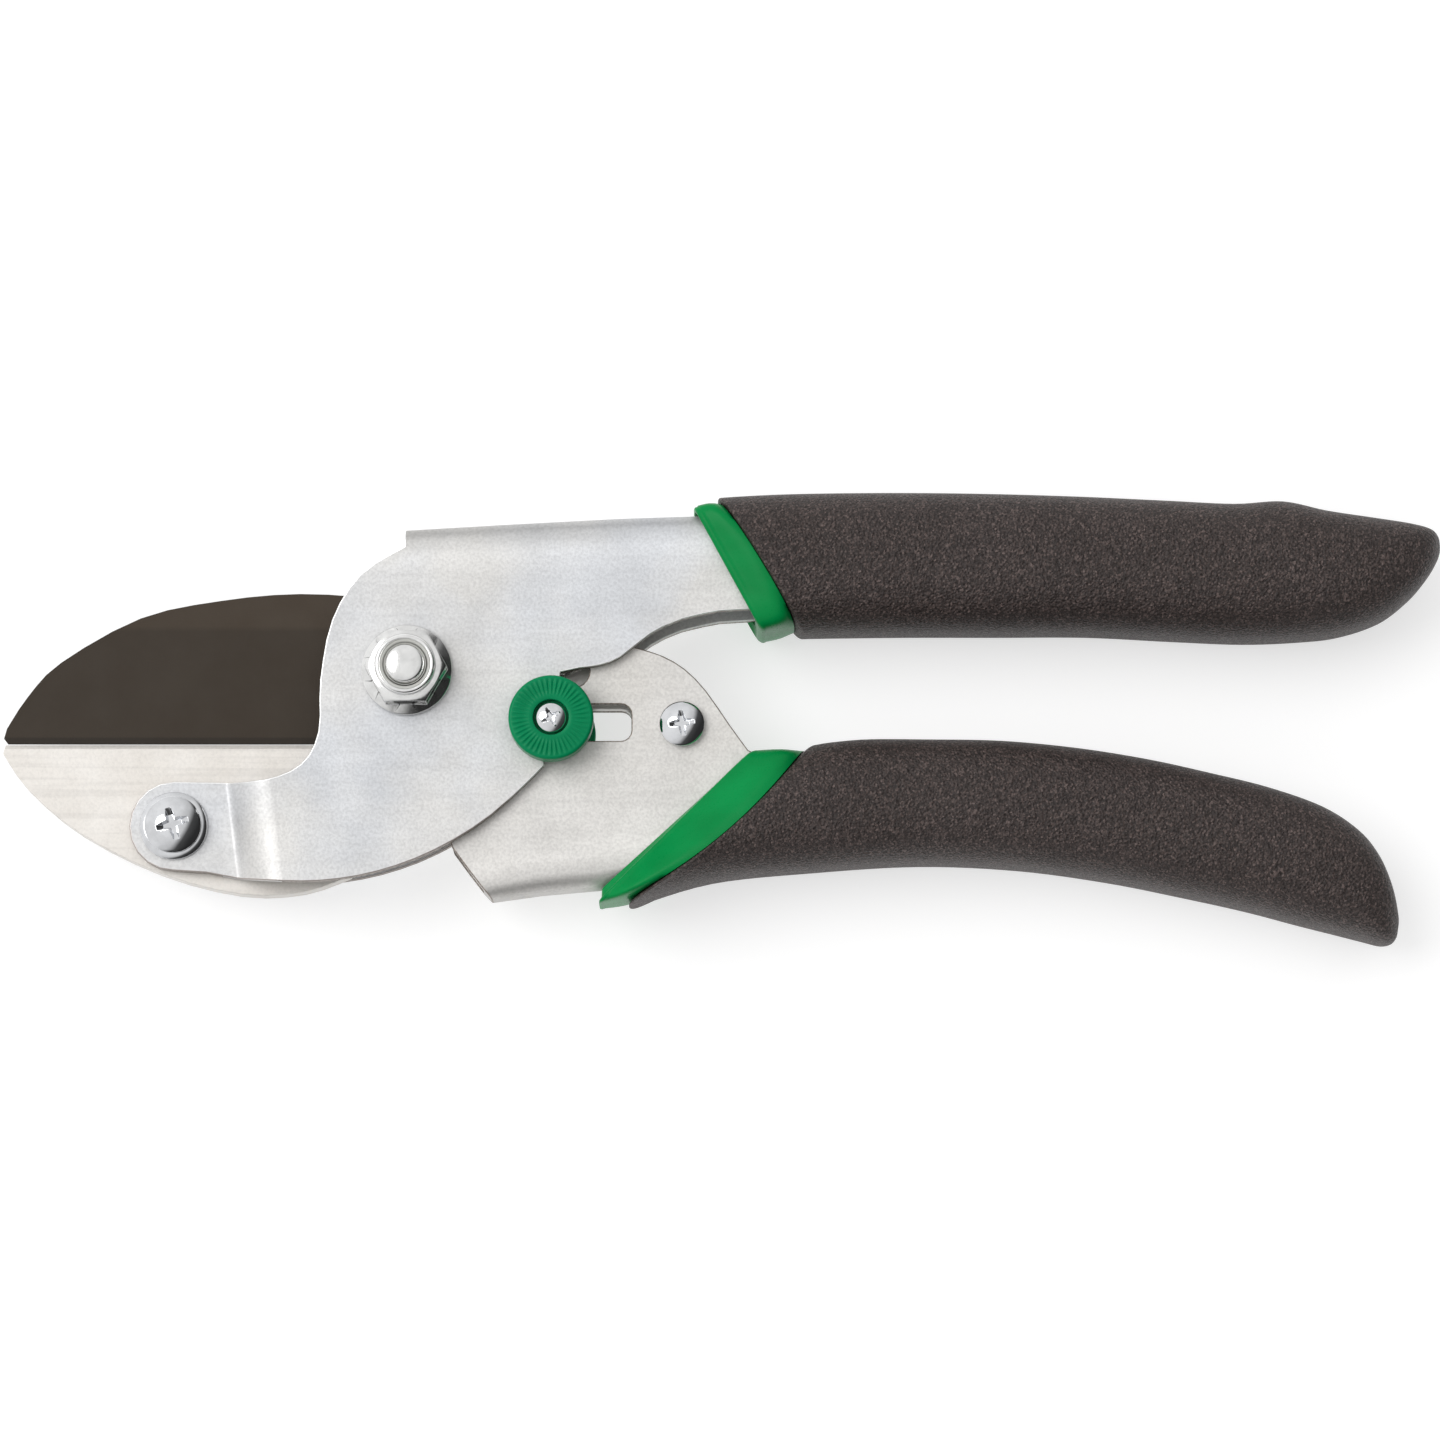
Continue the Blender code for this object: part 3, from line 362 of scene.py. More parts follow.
def cut_edge(name):
    """Sheared edge of the sheet: rougher, darker and warmer, with the shear's fine streaks."""
    finish = Finish(name, Metallic=0.5)
    streaks = finish.noise(0.35, 3.0, 0.6, finish.squeezed((1.0, 1.0, 0.15)))
    finish.to_shader(finish.ramp(streaks, (0.3, (0.13, 0.105, 0.088)), (0.7, (0.36, 0.315, 0.275))),
                     "Base Color")
    finish.to_shader(finish.ramp(streaks, (0.3, 0.55), (0.7, 0.40)), "Roughness")
    finish.relief((streaks, 0.05))
    return finish.material


def rim_painted_light(name):
    """Rounded rim of the upper sheet: painted highlight along the throat, painted shade along the belly."""
    finish = Finish(name, Metallic=0.9)
    streaks = finish.noise(0.5, 3.0, 0.6)
    # Painted highlight towards the throat and painted shade towards the belly, by place along Y.
    colour = finish.ramp(finish.along((0, 1, 0), -19.0, -16.0), (0.0, (0.40, 0.36, 0.34)),
                         (1.0, (0.97, 0.97, 0.96)))
    colour = finish.mixed(0.5, colour, finish.ramp(streaks, (0.3, 0.85), (0.6, 1.0)))
    finish.to_shader(colour, "Base Color")
    finish.to_shader(finish.ramp(streaks, (0.3, 0.38), (0.7, 0.28)), "Roughness")
    finish.relief((streaks, 0.004))
    return finish.material


def blade_coating(name):
    """Dark coating, with painted light above the ground face and a painted shade band at the cutting edge,
    none on the tang.
    """
    finish = Finish(name, Specular_IOR_Level=0.25)
    grain = finish.noise(0.25, 2.0, 0.6)
    cloud = finish.noise(6.0)
    body = finish.ramp(cloud, (0.3, (0.034, 0.024, 0.0155)), (0.7, (0.039, 0.029, 0.020)))
    # Painted light: the flat above the ground face is made lighter, standing in for how differently the two
    # faces catch the light.
    flat = finish.ramp(finish.along((0, 1, 0), 6.6, 7.4), (0.0, 1.0), (1.0, 1.35))
    body = finish.mixed(1.0, body, flat)
    # Painted shade: a darker band along the cutting edge stands in for the shade on a narrow second bevel.
    edge = finish.ramp(finish.along((0, 1, 0), -9.3, -8.3), (0.0, 0.62), (0.7, 0.62), (1.0, 1.0))
    body = finish.mixed(1.0, body, edge)
    bare = finish.along((1, 0, 0), -6.0, -5.5)
    tang = finish.ramp(bare, (0.0, (0.0, 0.0, 0.0)), (1.0, (0.70, 0.69, 0.67)))
    body = finish.mixed(1.0, body, tang, "ADD")
    finish.to_shader(body, "Base Color")
    finish.to_shader(finish.ramp(bare, (0.0, 0.15), (1.0, 0.85)), "Metallic")
    finish.to_shader(finish.ramp(grain, (0.3, 0.36), (0.7, 0.48)), "Roughness")
    finish.relief((grain, 0.010), (cloud, 0.03))
    return finish.material


def anvil_metal(name):
    """Machined light alloy: warm white metal with a fine grain and faint cutter lines."""
    finish = Finish(name, Metallic=0.4)
    grain = finish.noise(0.4, 3.0, 0.6)
    lines = finish.noise(1.2, 2.0, 0.5, finish.squeezed((0.04, 1.6, 1.0)))
    cloud = finish.noise(7.0)
    colour = finish.ramp(cloud, (0.3, (0.71, 0.675, 0.63)), (0.7, (0.79, 0.76, 0.72)))
    colour = finish.mixed(0.9, colour, finish.ramp(grain, (0.3, 0.88), (0.6, 1.0)))
    colour = finish.mixed(0.6, colour, finish.ramp(lines, (0.35, 0.88), (0.5, 1.0)))
    finish.to_shader(colour, "Base Color")
    finish.to_shader(finish.ramp(grain, (0.3, 0.40), (0.7, 0.52)), "Roughness")
    finish.relief((grain, 0.02), (lines, 0.01))
    return finish.material


def bright_steel(name, colour, rough, grain_depth):
    """Bright steel of screws, nuts and wire: a fine grain and a trace of grime."""
    finish = Finish(name, Metallic=1.0)
    grain = finish.noise(0.3, 2.0)
    cloud = finish.noise(2.0)
    darker = tuple(part * 0.86 for part in colour)
    finish.to_shader(finish.ramp(cloud, (0.35, darker), (0.6, colour)), "Base Color")
    finish.to_shader(finish.ramp(grain, (0.3, rough * 0.8), (0.7, rough * 1.3)), "Roughness")
    finish.relief((grain, grain_depth), (cloud, grain_depth * 2))
    return finish.material


def moulded_plastic(name, dark, light, rough, gloss, grain=0.3, depth=0.004):
    """Moulded plastic: slight flow marks in its colour and a soft skin."""
    finish = Finish(name, IOR=1.3, Specular_IOR_Level=gloss)
    flow = finish.noise(5.0, 3.0, 0.5, finish.squeezed((0.5, 1.0, 1.0), 0.6))
    skin = finish.noise(grain, 2.0)
    finish.to_shader(finish.ramp(flow, (0.3, dark), (0.7, light)), "Base Color")
    finish.to_shader(finish.ramp(skin, (0.3, rough * 0.85), (0.7, rough * 1.2)), "Roughness")
    finish.relief((skin, depth), (flow, 0.05))
    return finish.material


def grip_foam(name):
    """Grained soft grip: pebbles under half a millimetre, and finer light specks in its colour, partly its
    own grain and partly painted glints.
    """
    finish = Finish(name, IOR=1.4, Specular_IOR_Level=0.5)
    pebbles = finish.cells(0.40)
    fleck = finish.cells(0.26, "Color")
    grain = finish.noise(0.26, 3.0, 0.65)
    cloud = finish.noise(12.0)
    body = finish.ramp(cloud, (0.3, (0.043, 0.031, 0.028)), (0.7, (0.050, 0.037, 0.034)))
    # Lighter cells in the colour: partly the grip's own specks, partly painted glints.
    specks_and_painted_glints = finish.ramp(fleck, (0.30, 0.56), (0.52, 0.88), (0.74, 1.45), (0.90, 2.6))
    body = finish.mixed(1.0, body, specks_and_painted_glints)
    body = finish.mixed(1.0, body, finish.ramp(grain, (0.34, 0.60), (0.60, 1.20)))
    finish.to_shader(body, "Base Color")
    finish.to_shader(finish.ramp(grain, (0.35, 0.62), (0.65, 0.40)), "Roughness")
    finish.relief((grain, 0.15), (pebbles, 0.16), (finish.noise(1.6, 2.0), 0.10))
    return finish.material


def sintered_bronze(name):
    """Sintered bronze with dark pores."""
    finish = Finish(name, Metallic=1.0)
    pores = finish.cells(0.25)
    finish.to_shader(finish.ramp(pores, (0.1, (0.30, 0.20, 0.10)), (0.5, (0.52, 0.36, 0.20))), "Base Color")
    finish.to_shader(finish.ramp(pores, (0.1, 0.6), (0.5, 0.42)), "Roughness")
    finish.relief((pores, 0.02))
    return finish.material


# The last two values place each sheet's band of painted highlight and shade beside its spine.
ZINC = zinc_plate("zinc_plate", (0.665, 0.677, 0.700), (0.712, 0.702, 0.686), (-0.045, 1.0, 0.0), 20.6)
ZINC_LOWER = zinc_plate("zinc_plate_lower", (0.672, 0.650, 0.618), (0.720, 0.703, 0.680),
                        (0.15, -1.0, 0.0), 33.9)
EDGE = cut_edge("sheared_edge")
RIM_PAINTED_LIGHT = rim_painted_light("rim_painted_light")
COATING = blade_coating("blade_coating")
ANVIL = anvil_metal("anvil_metal")
CHROME = bright_steel("bright_screw_steel", (0.77, 0.78, 0.80), 0.07, 0.0006)
PLATED = bright_steel("plated_nut_steel", (0.84, 0.84, 0.83), 0.13, 0.0008)
SPRING = bright_steel("spring_steel", (0.72, 0.71, 0.69), 0.26, 0.003)
BRONZE = sintered_bronze("sintered_bronze")
NYLON = moulded_plastic("nylon", (0.52, 0.52, 0.49), (0.62, 0.62, 0.59), 0.42, 0.5)
GREEN = moulded_plastic("green_sleeve", (0.0005, 0.205, 0.047), (0.001, 0.250, 0.060), 0.30, 0.20)
GREEN_KNOB = moulded_plastic("green_knob", (0.0005, 0.195, 0.074), (0.0005, 0.225, 0.086), 0.30, 0.22,
                             grain=0.2, depth=0.008)
FOAM = grip_foam("grip_foam")


# ---- sheet-metal handles, blade and anvil: the CAD solids with finished edges ----

def refined(node):
    """A CAD node's mesh with its flat faces whole again, in metres."""
    mesh = bmesh.new()
    mesh.from_mesh(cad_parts[node].data)
    bmesh.ops.remove_doubles(mesh, verts=mesh.verts, dist=0.002 * MM)
    bmesh.ops.dissolve_limit(mesh, angle_limit=math.radians(0.3), verts=mesh.verts, edges=mesh.edges)
    for layer in list(mesh.loops.layers.uv):
        mesh.loops.layers.uv.remove(layer)
    return mesh


SHEET = 1.5
SHEET_BEVEL = 0.17
BLADE_BEVEL = 0.08
ANVIL_BEVEL = 0.10
METAL_SMOOTH_BELOW = 38


def mark_cut_edges(mesh):
    """Gives the second finish to the narrow faces that stand across the sheet."""
    for face in mesh.faces:
        heights = [vertex.co.z for vertex in face.verts]
        if abs(face.normal.z) < 0.1 and max(heights) - min(heights) < (SHEET + 0.2) * MM:
            face.material_index = 1


# The anvil arms' two bends: the way ahead across them, and the length that they take up together
BEND_AHEAD = Vector((-math.cos(math.radians(7.5)), -math.sin(math.radians(7.5)), 0))
BEND_START = BEND_AHEAD.dot(Vector((-18.1, -21.5, 0)))
BEND_LENGTH = BEND_AHEAD.dot(Vector((-24.8, -22.4, 0))) - BEND_START
# The CAD solid's facets as (share of the length, share of the drop)
BEND_FACETS = ((0.0, 0.0), (0.15, 0.07), (0.85, 0.93), (1.0, 1.0))
# The round bends' own shares of the length
WIDE_BEND = 0.70
TIGHT_BEND = 0.12
BEND_CUTS = 16
# Vertices nearer than this to one another become one after the cuts
MERGE_WITHIN = 0.16
FRONT_ARM_DROP = high("upper_frame").z - low("anvil_screw_washer").z + CLEARANCE
BACK_ARM_DROP = high("anvil_nut").z + CLEARANCE - low("upper_frame").z


def faceted_share(t):
    """Share of the drop that the CAD solid has reached after a share of the bends' length."""
    t = min(max(t, 0.0), 1.0)
    for (start, before), (end, after) in zip(BEND_FACETS, BEND_FACETS[1:]):
        if t <= end:
            return before + (after - before) * (t - start) / (end - start)
    return 1.0


def rounded_share(t):
    """The same with both bends rounded: a tight one at the anvil, a wide one at the wall."""
    t = min(max(t, 0.0), 1.0)
    slope = 1 / (1 - WIDE_BEND / 2 - TIGHT_BEND / 2)
    if t < WIDE_BEND:
        return slope * t * t / (2 * WIDE_BEND)
    if t < 1 - TIGHT_BEND:
        return slope * (t - WIDE_BEND / 2)
    return 1 - slope * (1 - t) ** 2 / (2 * TIGHT_BEND)


def round_bends(mesh):
    """Replaces the CAD solid's flat facets at the anvil arms' bends with round bends."""
    for cut in range(1, BEND_CUTS):
        place = BEND_AHEAD * (BEND_START + BEND_LENGTH * cut / BEND_CUTS) * MM
        everything = mesh.verts[:] + mesh.edges[:] + mesh.faces[:]
        bmesh.ops.bisect_plane(mesh, geom=everything, plane_co=place, plane_no=BEND_AHEAD)
    bmesh.ops.remove_doubles(mesh, verts=mesh.verts, dist=MERGE_WITHIN * MM)
    for vertex in mesh.verts:
        t = (BEND_AHEAD.dot(vertex.co / MM) - BEND_START) / BEND_LENGTH
        change = faceted_share(t) - rounded_share(t)
        if vertex.co.z > MIDDLE * MM:
            vertex.co.z += change * FRONT_ARM_DROP * MM
        else:
            vertex.co.z -= change * BACK_ARM_DROP * MM


def make_metalwork():
    upper = refined("upper_frame")
    mark_cut_edges(upper)
    round_bends(upper)
    lower = refined("lower_frame")
    mark_cut_edges(lower)
    # The upper sheet's beveled rim takes the third finish, with its painted highlight and shade.
    add_piece("upper_frame_sheet", upper, [ZINC, EDGE, RIM_PAINTED_LIGHT], "upper_handle",
              ["upper_frame"], SHEET_BEVEL, 3, 1.0, METAL_SMOOTH_BELOW, bevel_finish=2)
    add_piece("lower_frame_sheet", lower, [ZINC_LOWER, EDGE], "lower_handle",
              ["lower_frame"], SHEET_BEVEL, 3, 1.0, METAL_SMOOTH_BELOW, bevel_finish=1)
    add_piece("blade_coated", refined("blade"), [COATING], "lower_handle", ["blade"],
              BLADE_BEVEL, 2, 1.0, METAL_SMOOTH_BELOW)
    add_piece("anvil_plate", refined("anvil"), [ANVIL], "upper_handle", ["anvil"],
              ANVIL_BEVEL, 2, 1.0, METAL_SMOOTH_BELOW)


# ---- fasteners ----

HEAD_HEIGHTS = {"anvil_screw": 2.5, "blade_screw": 2.0, "lock_screw": 1.5}
HEAD_CHAMFER = 0.15
DOME_STEPS = 10
# The cross recess, as large as in a head of this radius; a smaller head scales it down
RECESS_HEAD_RADIUS = 4.0
RECESS_DEPTH = 1.3
RECESS_WIDTH = 1.15
# Reach of the recess as a share of the head's radius
RECESS_REACH = 0.74


def cross_ring(place, turn, reach, wide, height):
    """Plus-shaped ring with narrowed tips."""
    half = wide / 2
    corner = [(reach, -half * 0.7), (reach, half * 0.7), (half * 1.15, half * 1.15)]
    ring = []
    for quarter in range(4):
        rotation = Matrix.Rotation(turn + quarter * math.pi / 2, 2)
        for point in corner:
            x, y = rotation @ Vector(point)
            ring.append((place[0] + x, place[1] + y, height))
    return ring


def screw_head_profile(seat, top, radius, shank, end, rim_share):
    """Shank and pan head; the dome starts at a share of the head's height and is a parabola."""
    rim = seat + (top - seat) * rim_share
    dome = []
    for step in range(DOME_STEPS):
        across = 1 - step / DOME_STEPS
        dome.append((radius * across, rim + (top - rim) * (1 - across * across)))
    return ([(0, end), (shank * 0.8, end), (shank, end + 0.4), (shank, seat),
             (radius - HEAD_CHAMFER, seat), (radius, seat + HEAD_CHAMFER)] + dome + [(0, top)])


def pan_screw(node, body, shank_diameter, turn, rim_share=0.40):
    """Pan-head screw with a cross recess turned by an angle."""
    place = centre(node)
    top = high(node).z
    seat = top - HEAD_HEIGHTS[node]
    radius = width(node) / 2
    profile = screw_head_profile(seat, top, radius, shank_diameter / 2, low(node).z, rim_share)
    size = radius / RECESS_HEAD_RADIUS
    reach = radius * RECESS_REACH
    wide = RECESS_WIDTH * size
    cutter = lofted([cross_ring(place, turn, reach * 0.45, wide * 0.6, top - RECESS_DEPTH * size),
                     cross_ring(place, turn, reach * 0.95, wide, top - 0.1 * size),
                     cross_ring(place, turn, reach * 1.1, wide * 1.1, top + 0.6)])
    mesh = combined(turned(profile, place, 80), cutter, "DIFFERENCE")
    add_piece(node + "_fine", mesh, [CHROME], body, [node], bevel=0.03, smooth_below=35)


def ring_piece(node, body, inner_diameter, finish, chamfer=0.15):
    """Plain ring with chamfered edges."""
    outer = width(node) / 2
    inner = inner_diameter / 2
    bottom = low(node).z
    top = high(node).z
    profile = [(inner + chamfer, bottom), (outer - chamfer, bottom), (outer, bottom + chamfer),
               (outer, top - chamfer), (outer - chamfer, top), (inner + chamfer, top),
               (inner, top - chamfer), (inner, bottom + chamfer)]
    add_piece(node + "_fine", turned(profile, centre(node), ring=True), [finish], body, [node],
              bevel=0.04)


def dished_washer(node, body, inner_diameter):
    """Washer whose outer part slopes down to the arm."""
    outer = width(node) / 2
    inner = inner_diameter / 2
    bottom = low(node).z
    top = high(node).z
    profile = [(inner, bottom), (outer - 0.1, bottom), (outer, bottom + 0.08), (outer - 0.1, bottom + 0.2),
               (outer - 0.8, top - 0.03), (outer - 1.1, top), (inner, top)]
    add_piece(node + "_fine", turned(profile, centre(node), ring=True), [CHROME], body,
              [node], bevel=0.05)


def hexagon_body(place, flats, turn, bottom, top, chamfer_low, chamfer_high):
    """Hexagon with its corners turned down to a cone at one or both ends."""
    corner = flats / math.sqrt(3)
    outline = arc(place, corner, turn, turn + 300, 5)
    beyond = corner + 0.4
    flat_end = flats / 2 * 0.97
    drop = (beyond - flat_end) * math.tan(math.radians(30))
    start = [(flat_end, bottom), (beyond, bottom + drop)] if chamfer_low else [(beyond, bottom)]
    end = [(beyond, top - drop), (flat_end, top)] if chamfer_high else [(beyond, top)]
    cone = turned([(0, bottom)] + start + end + [(0, top)], place, 72)
    return combined(prism(outline, bottom, top), cone, "INTERSECT")


def bored(mesh, place, radius, bottom, top, segments):
    """Solid with a round hole right through it; the cutter runs past both ends."""
    start = bottom - 1
    end = top + 1
    cutter = turned([(0, start), (radius, start), (radius, end), (0, end)], place, segments)
    return combined(mesh, cutter, "DIFFERENCE")


def small_nut(node, body, flats, bore_diameter):
    """Plain hexagon nut, chamfered at both ends."""
    place = centre(node)
    bottom = low(node).z
    top = high(node).z
    mesh = hexagon_body(place, flats, 30, bottom, top, True, True)
    add_piece(node + "_fine", bored(mesh, place, bore_diameter / 2, bottom, top, 48), [PLATED], body,
              [node], bevel=0.06)


BOLT_DIAMETER = 6.0
BOLT_HEAD_FLATS = 10.0
BOLT_HEAD_TOP = low("upper_frame").z - CLEARANCE
BOLT_DOME_RISE = 0.45
BOLT_THREAD_END = 1.1
BOLT_POINT_SHARE = 0.90
BOLT_DOME_SHARE = 0.86
NUT_FLATS = 10.0
NUT_BORE = BOLT_DIAMETER / 2 + CLEARANCE
FLANGE_HEIGHT = 1.4
FLANGE_EDGE = 0.15
HEX_START = 0.7
HEX_HEIGHT = 3.4
NECK_HEIGHT = 1.9
COLLAR_DIAMETER = 8.6
COLLAR_WALL = 0.4
# Depth of the collar's waist above the hexagon, and height of the shelf under the nylon ring
WAIST = 0.25
SHELF = 0.3


def pivot_bolt():
    """Bolt with its head at the back and a shallow dome at the front end."""
    radius = BOLT_DIAMETER / 2
    end = high("pivot_bolt").z
    point = radius * BOLT_POINT_SHARE
    head = hexagon_body((0, 0), BOLT_HEAD_FLATS, 0, 0.0, BOLT_HEAD_TOP, True, False)
    profile = [(0, BOLT_HEAD_TOP - 0.5), (radius, BOLT_HEAD_TOP - 0.5), (radius, end - BOLT_THREAD_END),
               (point, end - 0.75), (point, end - 0.6)]
    for angle in range(0, 90, 10):
        turn = math.radians(angle)
        profile.append((radius * BOLT_DOME_SHARE * math.cos(turn),
                        end - BOLT_DOME_RISE + BOLT_DOME_RISE * math.sin(turn)))
    profile.append((0, end))
    return combined(head, turned(profile), "UNION")


def pivot_nut():
    """Flanged lock nut: a skirt, the hexagon, and a collar rolled over the nylon ring."""
    base = low("pivot_nut").z
    top = high("pivot_nut").z
    flange = width("pivot_nut") / 2
    hex_top = base + FLANGE_HEIGHT + HEX_HEIGHT
    shelf = hex_top + SHELF
    collar = COLLAR_DIAMETER / 2
    inside = collar - COLLAR_WALL
    neck = base + NECK_HEIGHT
    skirt = turned([(NUT_BORE, base), (flange - FLANGE_EDGE, base), (flange, base + FLANGE_EDGE),
                    (flange, base + 0.5), (flange - FLANGE_EDGE, base + 0.68),
                    (flange * 0.80, base + FLANGE_HEIGHT), (collar * 0.85, neck), (NUT_BORE, neck)],
                   ring=True)
    waist = turned([(NUT_BORE, neck - 0.3), (collar - WAIST, neck - 0.3), (collar - WAIST, hex_top + 0.15),
                    (collar, hex_top + 0.35), (collar, top - 0.5), (collar - 0.12, top - 0.22),
                    (collar - 0.35, top), (collar - 0.65, top), (collar - 0.8, top - 0.15),
                    (inside - 0.28, top - 0.25), (inside, top - 0.5), (inside, shelf), (NUT_BORE, shelf)],
                   ring=True)
    hexagon = hexagon_body((0, 0), NUT_FLATS, 0, base + HEX_START, hex_top, False, True)
    hexagon = bored(hexagon, (0, 0), NUT_BORE + 0.1, base, top, 96)
    return combined(combined(skirt, hexagon, "UNION"), waist, "UNION")


def make_pivot():
    body = "upper_handle"
    add_piece("pivot_bolt_fine", pivot_bolt(), [PLATED], body, ["pivot_bolt"], bevel=0.06)
    add_piece("pivot_nut_fine", pivot_nut(), [PLATED], body, ["pivot_nut"], bevel=0.07)
    ring_piece("pivot_nut_insert", body, BOLT_DIAMETER + 0.2, NYLON, 0.2)
    ring_piece("pivot_bushing", body, BOLT_DIAMETER + 0.6, BRONZE, 0.25)


def make_fasteners():
    pan_screw("anvil_screw", "upper_handle", 4.0, turn=0.30)
    dished_washer("anvil_screw_washer", "upper_handle", 4.6)
    small_nut("anvil_nut", "upper_handle", 7.0, 4.6)
    pan_screw("blade_screw", "lower_handle", 3.5, turn=0.12)
    small_nut("blade_nut", "lower_handle", 6.0, 4.1)
    ring_piece("blade_spacer", "lower_handle", 4.1, ZINC_LOWER)


# ---- thumb lock ----

KNOB_RIBS = 44
RIB_DEPTH = 0.20
KNOB_BORE = 3.1
KNOB_EDGE = 0.5
KNOB_FLOOR = 1.2
WELL_DIAMETER = 5.0
WELL_DEPTH = 1.6
# The ribs' ring on the face: where it starts and ends inside the rim, and how deep it is set in
RIBS_OUTSIDE = 0.9
RIBS_INSIDE = 2.5
RIBS_SINK = 0.10
FACE_SINK = 0.05


def raise_ribs(mesh, place, radius, face, side):
    """Turns the flat ring on a knob's face into a wave that fades towards the middle."""
    inner_edge = radius - RIBS_INSIDE
    for vertex in mesh.verts:
        x = vertex.co.x - place[0]
        y = vertex.co.y - place[1]
        reach = math.hypot(x, y)
        on_face = abs(vertex.co.z - face) < 0.02
        if on_face and inner_edge - 0.01 < reach < radius - RIBS_OUTSIDE + 0.05:
            fade = min(1.0, (reach - inner_edge) / 0.5 + 0.25)
            wave = math.cos(KNOB_RIBS * math.atan2(y, x))
            vertex.co.z += side * (wave * 0.5 * RIB_DEPTH * fade)


def ribbed_knob(node, side, well):
    """Round thumb button with radial ribs on its face. Side is 1 where the face is up."""
    place = centre(node)
    radius = width(node) / 2
    bottom = low(node).z if side > 0 else high(node).z
    top = high(node).z if side > 0 else low(node).z
    face = top - side * RIBS_SINK
    middle = top - side * FACE_SINK
    bore = KNOB_BORE / 2
    profile = [(bore, bottom), (radius - 0.35, bottom), (radius - 0.1, bottom + side * 0.12),
               (radius, bottom + side * 0.4), (radius, top - side * 0.75)]
    for angle in range(15, 91, 15):
        turn = math.radians(angle)
        profile.append((radius - KNOB_EDGE + KNOB_EDGE * math.cos(turn),
                        top - side * (0.62 - KNOB_EDGE * math.sin(turn))))
    profile += [(radius - inside, face) for inside in (RIBS_OUTSIDE, 1.4, 2.0, RIBS_INSIDE)]
    profile.append((radius - RIBS_INSIDE - 0.3, middle))
    if well:
        wall = WELL_DIAMETER / 2
        floor = top - side * WELL_DEPTH
        profile += [(wall + 0.25, middle), (wall + 0.05, top - side * 0.12), (wall, top - side * 0.3),
                    (wall, floor), (bore, floor)]
    else:
        floor = bottom + side * KNOB_FLOOR
        profile = [(0, floor), (bore, floor)] + profile + [(0.8, middle), (0, middle)]
    mesh = turned(profile, place, KNOB_RIBS * 6, ring=well)
    raise_ribs(mesh, place, radius, face, side)
    add_piece(node + "_fine", mesh, [GREEN_KNOB], "thumb_lock", [node], smooth_below=50)


def make_lock():
    ribbed_knob("lock_knob_front", 1, True)
    ribbed_knob("lock_knob_back", -1, False)
    ring_piece("lock_pin", "thumb_lock", KNOB_BORE, PLATED)
    pan_screw("lock_screw", "thumb_lock", 2.5, turn=0.5, rim_share=0.55)


# ---- spring ----

WIRE = 1.1
WIRE_SIDES = 16
COIL_RADIUS = 5.65
COIL_PITCH = 1.25
COIL_STEPS = 110
LEG_STEPS = 7
UPPER_LEG_END = (20.0, 18.828)
LOWER_LEG_HOLE = (23.3, 0.2)
# The lower leg's end turns up into its hole: how far that takes it along X and Y, and in steps
HOOK = (1.5, 0.45)
HOOK_STEPS = 12
HOOK_TIP = (1.0, 0.30)


def touch_angle(place, side):
    """Angle on the coil where a line from a place just touches it."""
    distance = math.hypot(*place)
    return math.atan2(place[1], place[0]) + side * math.acos(COIL_RADIUS / distance)


def spring_route(bottom, top):
    """Middle of the wire: the upper leg, one and a half turns round the bushing, the lower leg."""
    start = touch_angle(UPPER_LEG_END, 1)
    end = touch_angle(LOWER_LEG_HOLE, -1) + 4 * math.pi
    coil_top = bottom + COIL_PITCH * (end - start) / (2 * math.pi)
    coil = []
    for step in range(COIL_STEPS + 1):
        share = step / COIL_STEPS
        angle = start + (end - start) * share
        coil.append(Vector((COIL_RADIUS * math.cos(angle), COIL_RADIUS * math.sin(angle),
                            bottom + (coil_top - bottom) * share)))
    leg_end = Vector((*UPPER_LEG_END, bottom))
    upper_leg = [leg_end.lerp(coil[0], step / (LEG_STEPS + 1)) for step in range(LEG_STEPS + 1)]
    bend_start = Vector((*LOWER_LEG_HOLE, coil_top)) - Vector((HOOK[0], 0, 0))
    lower_leg = [coil[-1].lerp(bend_start, step / LEG_STEPS) for step in range(1, LEG_STEPS + 1)]
    for step in range(1, HOOK_STEPS + 1):
        share = step / HOOK_STEPS
        rise = (top - coil_top) * (1 - math.cos(math.pi * share)) / 2
        lower_leg.append(bend_start + Vector((HOOK[0] * share, HOOK[1] * share, rise)))
    lower_leg.append(lower_leg[-1] + Vector((*HOOK_TIP, 0)))
    return upper_leg + coil + lower_leg


def wire(route):
    """Round wire along a route, with its far end domed."""
    rings = []
    side = None
    for index, point in enumerate(route):
        before = route[max(index - 1, 0)]
        after = route[min(index + 1, len(route) - 1)]
        run = (after - before).normalized()
        if side is None:
            side = run.orthogonal().normalized()
        side = (side - run * side.dot(run)).normalized()
        other = run.cross(side)
        ring = []
        for turn in range(WIRE_SIDES):
            angle = 2 * math.pi * turn / WIRE_SIDES
            ring.append(point + (side * math.cos(angle) + other * math.sin(angle)) * WIRE / 2)
        rings.append(ring)
    tip = rings[-1]
    middle = sum(tip, Vector()) / len(tip)
    for share, reach in ((0.85, 0.15), (0.55, 0.24)):
        rings.append([middle + (point - middle) * share + run * reach for point in tip])
    return lofted(rings)


def make_spring():
    """The spring's wire, in place of its CAD node, put on no body: it stays where it is drawn."""
    bottom = low("torsion_spring").z + WIRE / 2
    top = high("torsion_spring").z - CLEARANCE - WIRE / 2
    piece = add_piece("torsion_spring_wire", wire(spring_route(bottom, top)), [SPRING], None,
                      ["torsion_spring"])
    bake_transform(piece)


# ---- grips ----

